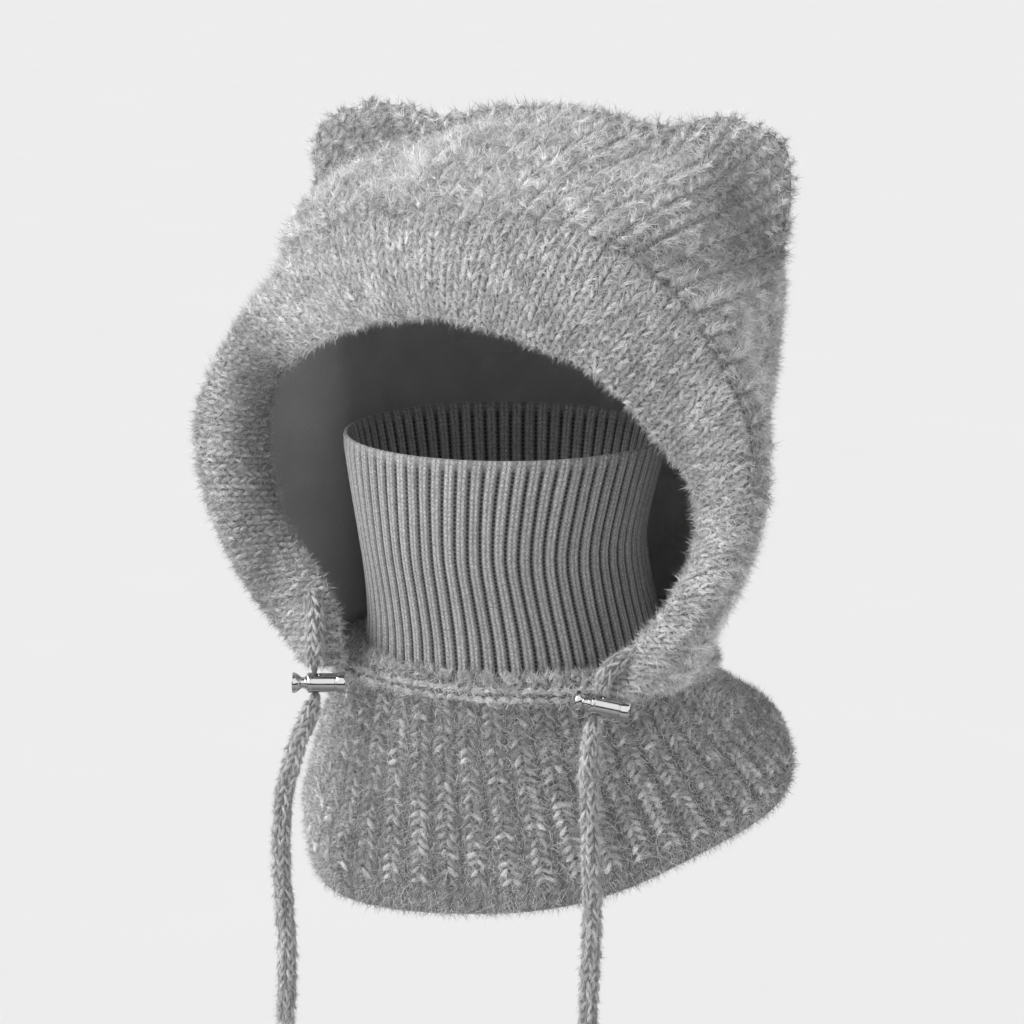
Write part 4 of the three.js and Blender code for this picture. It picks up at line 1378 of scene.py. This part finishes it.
# the hem rolls: three loops round its lower edge join the outside to the inside
rolls = []
for share, reach in ((0.15, 2.0), (0.5, 3.2), (0.85, 2.0)):
    loop = cape_outer[0] * (1 - share) + cape_inner[0] * share
    loop[:, 2] -= reach
    rolls.append(loop)
cape_form = np.concatenate([cape_inner[::-1], rolls[::-1], cape_outer])
print("cape grid", cape_form.shape)

# %% [markdown]
# ## The cape's chart and closing
#
# Courses are counted from the hem's outer edge, so that the ridge and the hem can be found by
# their count. The two open edges at the neck are bridged, as by hand, and all faces but the
# outer ones get a second slot, which stays without stitches.

# %% Cape chart and closing
CAPE_WALES = 48
CAPE_COURSE = 4.0
inner_rows = len(cape_inner) + len(rolls)
climb = climb_of(cape_form)
climb -= climb[inner_rows]
cape_wales = np.arange(CAPE_SIDES + 1) / CAPE_SIDES * CAPE_WALES
cape = sheet_object("neck_cape_knit", cape_form, tube_chart(cape_wales, climb / CAPE_COURSE))
cape.data.materials.append(CAPE_GROUND)
cape.data.materials.append(CAPE_GROUND)
sealed(cape, bridge=True)
for polygon in cape.data.polygons:
    row_index = polygon.index // CAPE_SIDES
    polygon.material_index = 0 if inner_rows <= row_index < len(cape_form) - 1 else 1
print("cape triangles", triangles_of(cape))

# %% [markdown]
# ## Dressing the cape
#
# The wales of the skirt are columns of small light chevrons that stand on a darker brushed
# ground, whose darker grey is painted shade between them. The purl ridge turns its stitches on
# their side, in two rows of plump loops round the neck. The rolled hem shows its smooth back, so
# only brushed ground covers it. Further up the skirt, some legs sink into the ground and get
# painted shade. Painted light and shade also fall across the cape's front: darker in its
# middle, lighter to its left side.

# %% Cape stitches and fuzz
SHOULDER_COURSES = 4
RIDGE_COURSES = 2
HEM_COURSES = 3
SINK_BETWEEN = (-340, -262)
SINK_DEPTH = 1.3
SUNK_PAINTED_SHADE = 0.25
cape_stitches = stitch_places(cape)
course_number = cape_stitches["count"][:, 1]
from_top = course_number.max() - course_number
is_shoulder = from_top < SHOULDER_COURSES
is_ridge = ~is_shoulder & (from_top < SHOULDER_COURSES + RIDGE_COURSES)
is_skirt = ~is_ridge & ~is_shoulder & (course_number >= HEM_COURSES)
ridge = part_of(cape_stitches, is_ridge)
skirt_legs = legs_of(part_of(cape_stitches, is_skirt), width=6.0, length=CAPE_COURSE, thick=1.3,
                     lift=0.6, tones=(0.7, 1.5), slant=-0.95, jitter=0.26)
# sunk legs get painted shade, more of it further up the skirt
sunk = rng.uniform(0, 1, len(skirt_legs["tone"]))
sunk = sunk * smooth_step(skirt_legs["middle"][:, 2], *SINK_BETWEEN)
skirt_legs["middle"] = skirt_legs["middle"] - skirt_legs["out"] * (SINK_DEPTH * sunk)[:, None]
skirt_legs["tone"] = skirt_legs["tone"] * (1 - SUNK_PAINTED_SHADE * sunk)
shoulder_legs = legs_of(part_of(cape_stitches, is_shoulder), width=6.0, length=CAPE_COURSE,
                        thick=1.2, lift=0.3, tones=(0.8, 1.3), slant=-0.9)
ridge_legs = [
    legs_of({**ridge, "place": ridge["place"] + ridge["wale"] * shift}, width=5.0,
            length=CAPE_COURSE, thick=1.35, lift=0.7, tones=(0.95, 1.5), slant=2.2)
    for shift in (-0.25, 0.25)
]
cape_legs = joined(skirt_legs, shoulder_legs, *ridge_legs)


def cape_painted_light(points):
    """Painted light and shade on the cape's front: darker in its middle, lighter to its left side.
    """
    front = smooth_step(-points[:, 1], -20, 30)
    return 1 + front * (np.interp(points[:, 0], [-70, -10, 50, 100], [1.0, 0.88, 1.08, 1.2]) - 1)


def cape_inside(centre, normal):
    """True for faces of the cape that look inwards and aren't on its rolled hem."""
    outwards = centre[:, 0] * normal[:, 0] + (centre[:, 1] + 20) * normal[:, 1]
    hem = hem_height(np.arctan2(centre[:, 1] + 4, centre[:, 0]))
    return (outwards < 0) & (normal[:, 2] < 0.3) & (centre[:, 2] > hem + 12)


# painted light and shade across the cape's front, on its legs
cape_legs["tone"] = cape_legs["tone"] * cape_painted_light(cape_legs["middle"])
cape_yarn = leg_mesh("cape_stitches", cape_legs, sides=5, material=YARN["cape"])
cape_ground = fibres_on(cape, count=82000, length=4.4, spread=0.9, lift=0.6, tones=(0.46, 1.3),
                        skip=cape_inside)
# the same painted light and shade on the cape's ground fibres
cape_ground["tone"] = cape_ground["tone"] * cape_painted_light(cape_ground["root"])
cape_fibres = fibres_from(cape_legs, per_leg=27, length=4.0, spread=0.5, lift=0.4,
                          tones=(0.6, 1.3))
cape_fuzz = fuzz_mesh(
    "cape_fuzz", joined(cape_fibres, cape_ground), width=0.33, material=FIBRE["cape"]
)

# %% [markdown]
# ## The neck gaiter
#
# A fine 2x2 rib: pairs of raised wales with a purl valley between. The ribs are real relief,
# inside and out, waver a little as worn knitting does, and fade into the smooth turned edge.
# The tiny stitches come from the material made above.

# %% Gaiter
GAITER_ROWS = np.array([
    [-250, 71, 72, -42], [-240, 70.5, 72, -43], [-224, 68, 71, -47], [-204, 66, 71, -54],
    [-184, 66, 72, -60], [-159, 71, 74, -59], [-138, 76, 75, -56],
])
GAITER_WALL = 2.6
RIBS = 72
STEPS_PER_RIB = 9
GAITER_SIDES = RIBS * STEPS_PER_RIB
FINE_COURSE = 2.0
RIB_DEPTH = 1.05
INNER_RIB_SHARE = 0.8
EDGE_FADE = (-143.5, -140.5)


def rib_profile(phase):
    """Height across one rib, from 0 in the purl valley to 1 on its two wales."""
    across = np.abs((phase % 1) - 0.5)
    ridge = 1 - smooth_step(across, 0.26, 0.44)
    crease = 0.14 * np.exp(-((across / 0.06) ** 2))
    return ridge - crease


def gaiter_loop(z, inset, depth):
    """One loop of the gaiter; depth is how far its ribs stand out."""
    _, half_x, half_y, middle = row_at(GAITER_ROWS, z)
    angle = 2 * np.pi * np.arange(GAITER_SIDES) / GAITER_SIDES
    relief = depth * rib_profile(np.arange(GAITER_SIDES) / STEPS_PER_RIB)
    waver = 0.004 * np.sin(z / 19.0 + 5 * angle)
    angle = angle + waver + 0.0015 * np.sin(z / 9.0 + 17 * angle)
    return np.stack([
        (half_x - inset + relief) * np.cos(angle),
        middle + (half_y - inset + relief) * np.sin(angle),
        np.full(GAITER_SIDES, z),
    ], axis=1)


def gaiter_grid():
    """Outer loops up, round the turned edge, then inner loops down."""
    outer_heights = np.concatenate([np.linspace(-250, -147, 15), np.linspace(-144.5, -139.4, 4)])
    loops = []
    for z in outer_heights:
        fade = 1 - smooth_step(z, *EDGE_FADE)
        loops.append(gaiter_loop(z, 0.6 * fade, RIB_DEPTH * fade))
    for inset, z in ((0.3, -138.5), (1.3, -138.05), (2.4, -138.5)):
        loops.append(gaiter_loop(z, inset, 0.0))
    for z in np.concatenate([[-140.5, -143], np.linspace(-147, -250, 10)]):
        fade = smooth_step(-z, 140.5, 145)
        loops.append(gaiter_loop(z, GAITER_WALL - 0.2 * fade, -INNER_RIB_SHARE * RIB_DEPTH * fade))
    return np.stack(loops)


gaiter_form = gaiter_grid()
gaiter_courses = climb_of(gaiter_form) / FINE_COURSE
print("turned edge at course", gaiter_courses[np.argmax(gaiter_form[:, 0, 2])])
rib_count = np.arange(GAITER_SIDES + 1) / STEPS_PER_RIB
gaiter = sheet_object("neck_gaiter_rib", gaiter_form, tube_chart(rib_count, gaiter_courses))
gaiter.data.materials.append(GAITER_KNIT)
sealed(gaiter, bridge=True)
print("gaiter triangles", triangles_of(gaiter))

# %% [markdown]
# ## The drawstring
#
# A knitted cord is a little tube of V columns. Its core is a plain tube along the route, drawn
# in where the lock squeezes it. Legs in six columns lie on the core, with a light fuzz.

# %% Drawstring
CORD_RADIUS = 4.5
CORE_SINKS = 0.9
CORE_SIDES = 20
CORD_COLUMNS = 6
CORD_COURSE = 5.0
CORD_WALE = 4.7
PINCH_REACH = 9.5
CORD_PINCH = 0.85
CORD_TWIST = 0.06
LEGS_SINK = 1.15
BARE_RADIUS = 2.2


def cord_frame(distance):
    """Centres, directions and two side vectors of the cord at distances along the route."""
    centre = route_at(distance)
    along = unit(route_at(distance + 0.5) - route_at(distance - 0.5))
    side = np.array([np.cos(LOCK_YAW), np.sin(LOCK_YAW), 0])
    up = unit(side - along * (along @ side)[:, None])
    return centre, along, up, np.cross(along, up)


def cord_radius(centre, side):
    """The cord's radius: thinner as it nears its lock."""
    if side is None:
        return np.full(len(centre), CORD_RADIUS)
    away = np.linalg.norm(centre - LOCK_PLACE[side], axis=1)
    near = np.exp(-((away / PINCH_REACH) ** 4))
    return CORD_RADIUS + (CORD_PINCH - CORD_RADIUS) * near


def cord_core(name, start, end, side):
    """The cord's core: a closed tube just under the legs."""
    distance = np.linspace(start, end, int((end - start) / 1.6))
    centre, along, up, out = cord_frame(distance)
    radius = cord_radius(centre, side)
    radius = radius - CORE_SINKS * (radius > 2)
    angle = 2 * np.pi * np.arange(CORE_SIDES) / CORE_SIDES
    ring = up[:, None] * np.cos(angle)[None, :, None] + out[:, None] * np.sin(angle)[None, :, None]
    taper = np.ones(len(distance))
    taper[[0, -1]] = 0.0
    taper[[1, -2]] = 0.75
    grid = centre[:, None] + ring * (radius * taper)[:, None, None]
    wales = np.arange(CORE_SIDES + 1) / CORE_SIDES * CORD_COLUMNS
    piece = sheet_object(name, grid, tube_chart(wales, distance / CORD_COURSE))
    piece.data.materials.append(CORD_GROUND)
    sealed(piece, merge=0.00001)
    return piece


def cord_legs(start, end, side, upwards):
    """The V legs of a cord, in columns round it that wind slowly."""
    rows = np.arange(start + CORD_COURSE / 2, end - CORD_COURSE / 2, CORD_COURSE)
    distance = np.repeat(rows, CORD_COLUMNS)
    turn = np.tile(np.arange(CORD_COLUMNS), len(rows)) * 2 * np.pi / CORD_COLUMNS
    turn = turn + CORD_TWIST * np.repeat(np.arange(len(rows)), CORD_COLUMNS)
    centre, along, up, out = cord_frame(distance)
    radial = up * np.cos(turn)[:, None] + out * np.sin(turn)[:, None]
    radius = cord_radius(centre, side)
    shrink = radius / CORD_RADIUS
    stitches = {
        "place": centre + radial * (radius - LEGS_SINK * shrink)[:, None], "normal": radial,
        "wale": np.cross(along, radial) * CORD_WALE * shrink[:, None],
        "course": along * CORD_COURSE * upwards,
    }
    legs = legs_of(stitches, width=CORD_WALE, length=CORD_COURSE, thick=0.95, lift=0.0,
                   tones=(0.75, 1.25), slant=0.42, jitter=0.1)
    legs["thick"] = legs["thick"] * np.tile(shrink, 2)
    return part_of(legs, np.tile(radius > BARE_RADIUS, 2))


cords = {}
spans = {
    "left": (0.6, eyelet_at["left"] + 2, -1),
    "right": (eyelet_at["right"] - 2, route_length[-1] - 0.6, 1),
}
for side, (start, end, upwards) in spans.items():
    core = cord_core(f"drawstring_{side}_core", start, end, side)
    legs = cord_legs(start, end, side, upwards)
    knit = leg_mesh(f"drawstring_{side}_knit", legs, sides=4, material=YARN["cord"])
    fibres = fibres_from(legs, per_leg=24, length=2.6, spread=0.4, lift=0.45, tones=(0.75, 1.25))
    fuzz = fuzz_mesh(f"drawstring_{side}_fuzz", fibres, width=0.2, material=FIBRE["cord"])
    cords[side] = (core, knit, fuzz)
hidden_cord = cord_core(
    "drawstring_hidden_core", eyelet_at["left"] + 3, eyelet_at["right"] - 3, None
)

# %% [markdown]
# ## The cord locks
#
# A lock is turned metal: a barrel with a flared closed end and a sprung plunger with a dished
# button. Turning is a spin: a half profile is drawn as vertices, with its rims' small bevels,
# and spun round the axis. Then the cord hole is drilled with a Boolean.

# %% Cord locks
LOCK_TRAVEL = 1.8
HOLE_RADIUS = 2.3
SPIN_STEPS = 48
BARREL_PROFILE = [
    (0, 8.8), (3.6, 8.8), (3.6, -4.3), (4.0, -4.3), (4.5, -3.9), (4.7, -3.4), (4.7, -2.6),
    (4.45, -2.2), (4.45, 8.4), (4.15, 8.7), (4.15, 9.1), (4.6, 9.4), (5.1, 11.4), (5.1, 12.9),
    (4.8, 13.4), (0, 13.4),
]
PLUNGER_PROFILE = [
    (0, -10.6), (2.8, -10.7), (3.6, -11.2), (4.3, -11.2), (4.7, -10.8), (4.7, -9.9), (4.3, -9.1),
    (3.2, -7.6), (2.6, -7.0), (2.6, -5.4), (3.25, -5.0), (3.25, 5.0), (0, 5.0),
]


def turned(name, profile, hole_x):
    """A turned piece on the lock's own axes, with its cord hole drilled."""
    mesh = bpy.data.meshes.new(name)
    points = [(x * MM, 0, radius * MM) for radius, x in profile]
    mesh.from_pydata(points, [(k, k + 1) for k in range(len(points) - 1)], [])
    piece = linked(name, mesh)
    only(piece)
    bpy.ops.object.mode_set(mode="EDIT")
    bpy.ops.mesh.select_all(action="SELECT")
    bpy.ops.mesh.spin(steps=SPIN_STEPS, angle=2 * np.pi, center=(0, 0, 0), axis=(1, 0, 0))
    bpy.ops.mesh.select_all(action="SELECT")
    bpy.ops.mesh.remove_doubles(threshold=0.000005)
    bpy.ops.mesh.normals_make_consistent(inside=False)
    bpy.ops.object.mode_set(mode="OBJECT")
    bpy.ops.mesh.primitive_cylinder_add(vertices=32, radius=HOLE_RADIUS * MM, depth=30 * MM,
                                        location=(hole_x * MM, 0, 0))
    drill = bpy.context.object
    finish_modifier(piece, "BOOLEAN", operation="DIFFERENCE", object=drill, solver="EXACT")
    bpy.data.objects.remove(drill)
    piece.data.materials.append(METAL)
    only(piece)
    bpy.ops.object.shade_smooth_by_angle(angle=np.radians(28))
    return piece


def placed_on_lock(piece, side):
    """Puts a turned piece on its lock's axes, with its place in its mesh."""
    points = np.zeros(len(piece.data.vertices) * 3)
    piece.data.vertices.foreach_get("co", points)
    local = points.reshape(-1, 3) / MM + (LOCK_TRAVEL / 2, 0, 0)
    world = LOCK_PLACE[side] + local @ np.stack(lock_axes(side))
    piece.data.vertices.foreach_set("co", (world * MM).astype(np.float32).ravel())
    piece.data.update()
    return piece


locks = {}
for side in ("left", "right"):
    barrel = turned(f"lock_barrel_{side}_metal", BARREL_PROFILE, 0)
    plunger = turned(f"lock_plunger_{side}_metal", PLUNGER_PROFILE, -LOCK_TRAVEL)
    locks[side] = (placed_on_lock(barrel, side), placed_on_lock(plunger, side))
print("locks turned:", len(locks))

# %% [markdown]
# ## Who moves with what
#
# All knitting rides on the root body. Each plunger rides on its own body, so that it slides
# into its barrel at the posed limits. The construction piece that each one stands for is hidden.

# %% Riding and replacing
ROOT_PIECES = [
    (hood_wall, "hood_shell", "fuzzy_knit"), (hood_yarn, "hood_shell", "fuzzy_knit"),
    (hood_fuzz_front, "hood_shell", "fuzzy_knit"), (hood_fuzz_back, "hood_shell", "fuzzy_knit"),
    (lining, "hood_lining", "lining_fleece"), (band, "face_band", "band_knit"),
    (band_yarn, "face_band", "band_knit"), (band_fuzz, "face_band", "band_knit"),
    (cape, "neck_cape", "fuzzy_knit"), (cape_yarn, "neck_cape", "fuzzy_knit"),
    (cape_fuzz, "neck_cape", "fuzzy_knit"), (gaiter, "neck_gaiter", "rib_knit"),
    (hidden_cord, "drawstring_in_band", "cord_knit"),
]
for piece, node, slot in ROOT_PIECES:
    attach(piece, "root")
    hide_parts(node)
for side in ("left", "right"):
    start, end, _ = spans[side]
    core, knit, fuzz = cords[side]
    for piece in (core, knit, fuzz):
        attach(piece, "root")
    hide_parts(f"drawstring_{side}")
    barrel, plunger = locks[side]
    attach(barrel, "root")
    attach(plunger, f"plunger_{side}")
    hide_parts(f"lock_barrel_{side}")
    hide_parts(f"lock_plunger_{side}")
    line = route_at(np.linspace(start, end, 60))
    if side == "left":
        line = line[::-1]

# %% [markdown]
# ## The surround
#
# An evenly pale surround would leave polished metal without anything to mirror. Photographers
# stand dark and bright boards round it. Here only glossy rays see such strips, stacked from
# straight down to straight up. The camera sees plain white, and all else gets even light.

# %% Surround
EVEN_LIGHT = 0.49
SEEN_LIGHT = 0.855
# the height of each strip, from 0 straight down to 1 straight up, and its glow
STRIPS = [(0.0, 0.2), (0.3, 0.42), (0.385, 0.5), (0.41, 0.03), (0.53, 0.03), (0.56, 1.0),
          (0.92, 1.0), (0.96, 0.05)]
scene = bpy.context.scene
scene.view_settings.view_transform = "Standard"
world = bpy.data.worlds.new("studio")
scene.world = world
world.use_nodes = True
surround = Tree(world.node_tree)
even = surround.tree.nodes["Background"]
seen = surround.add("ShaderNodeBackground")
for background, strength in ((even, EVEN_LIGHT), (seen, SEEN_LIGHT)):
    background.inputs["Color"].default_value = (1, 1, 1, 1)
    background.inputs["Strength"].default_value = strength
split = surround.add("ShaderNodeSeparateXYZ")
surround.feed(split, surround.add("ShaderNodeTexCoord").outputs["Generated"])
upward = surround.feed(surround.add("ShaderNodeMapRange"), split.outputs["Z"], -1.0)
strips = surround.add("ShaderNodeValToRGB")
glow = surround.feed(strips, upward)
strips.color_ramp.interpolation = "EASE"
while len(strips.color_ramp.elements) < len(STRIPS):
    strips.color_ramp.elements.new(0.5)
for element, (height, brightness) in zip(strips.color_ramp.elements, STRIPS):
    element.position = height
    element.color = (brightness, brightness, brightness, 1)
mirrored = surround.feed(surround.add("ShaderNodeBackground"), glow, 1.0)
rays = surround.add("ShaderNodeLightPath").outputs
lit = surround.feed(
    surround.add("ShaderNodeMixShader"), rays["Is Glossy Ray"], even.outputs[0], mirrored
)
shown = surround.feed(
    surround.add("ShaderNodeMixShader"), rays["Is Camera Ray"], lit, seen.outputs[0]
)
surround.put(surround.tree.nodes["World Output"].inputs["Surface"], shown)
print("surround nodes:", len(surround.tree.nodes))

# %% [markdown]
# ## Floor and light
#
# A plain pale floor lies far below the hood, as a head holds it up. The main light is a wide soft
# sun from the upper left front, which lights the whole floor evenly, so the floor stays one
# tone. Glossy rays pass the floor by, so that the locks mirror the strips below them too. A
# soft box adds a little more light from the front.

# %% Floor and light
PALE = 0.86
bpy.ops.mesh.primitive_plane_add(size=160, location=(0, 0, -2.4))
floor = bpy.context.object
floor.name = "studio_floor"
floor_nodes = Nodes("pale_floor", roughness=0.95, sheen=0.0)
floor_noise = floor_nodes.noise(floor_nodes.object_place(), 1.5)
floor_nodes.tinted(PALE, floor_nodes.between(floor_noise, 0.995, 1.005))
floor.data.materials.append(floor_nodes.material)
floor.visible_glossy = False


def aimed_light(kind, name, place, target, energy):
    """A light at a place, turned to a target."""
    direction = np.asarray(target, float) - place
    turn = np.arctan2(-direction[0], direction[1])
    rise = np.arccos(-direction[2] / np.linalg.norm(direction))
    bpy.ops.object.light_add(type=kind, location=place, rotation=(rise, 0, turn))
    light = bpy.context.object
    light.name = name
    light.data.energy = energy
    return light


sun = aimed_light("SUN", "soft_key", (-2.2, -1.9, 2.4), (0, 0, 0), energy=2.42)
sun.data.angle = np.radians(50)
box = aimed_light("AREA", "soft_box", (-0.9, -1.6, 0.5), (0, 0, -0.2), energy=2.5)
box.data.size = 0.7
print("lights:", sun.name, box.name)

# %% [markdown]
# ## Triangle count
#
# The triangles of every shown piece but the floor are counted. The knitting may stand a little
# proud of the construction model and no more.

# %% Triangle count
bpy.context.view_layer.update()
added = sum(triangles_of(o) for o in bpy.data.objects
            if o.type == "MESH" and not o.hide_render and o != floor)
print("triangles shown:", added)
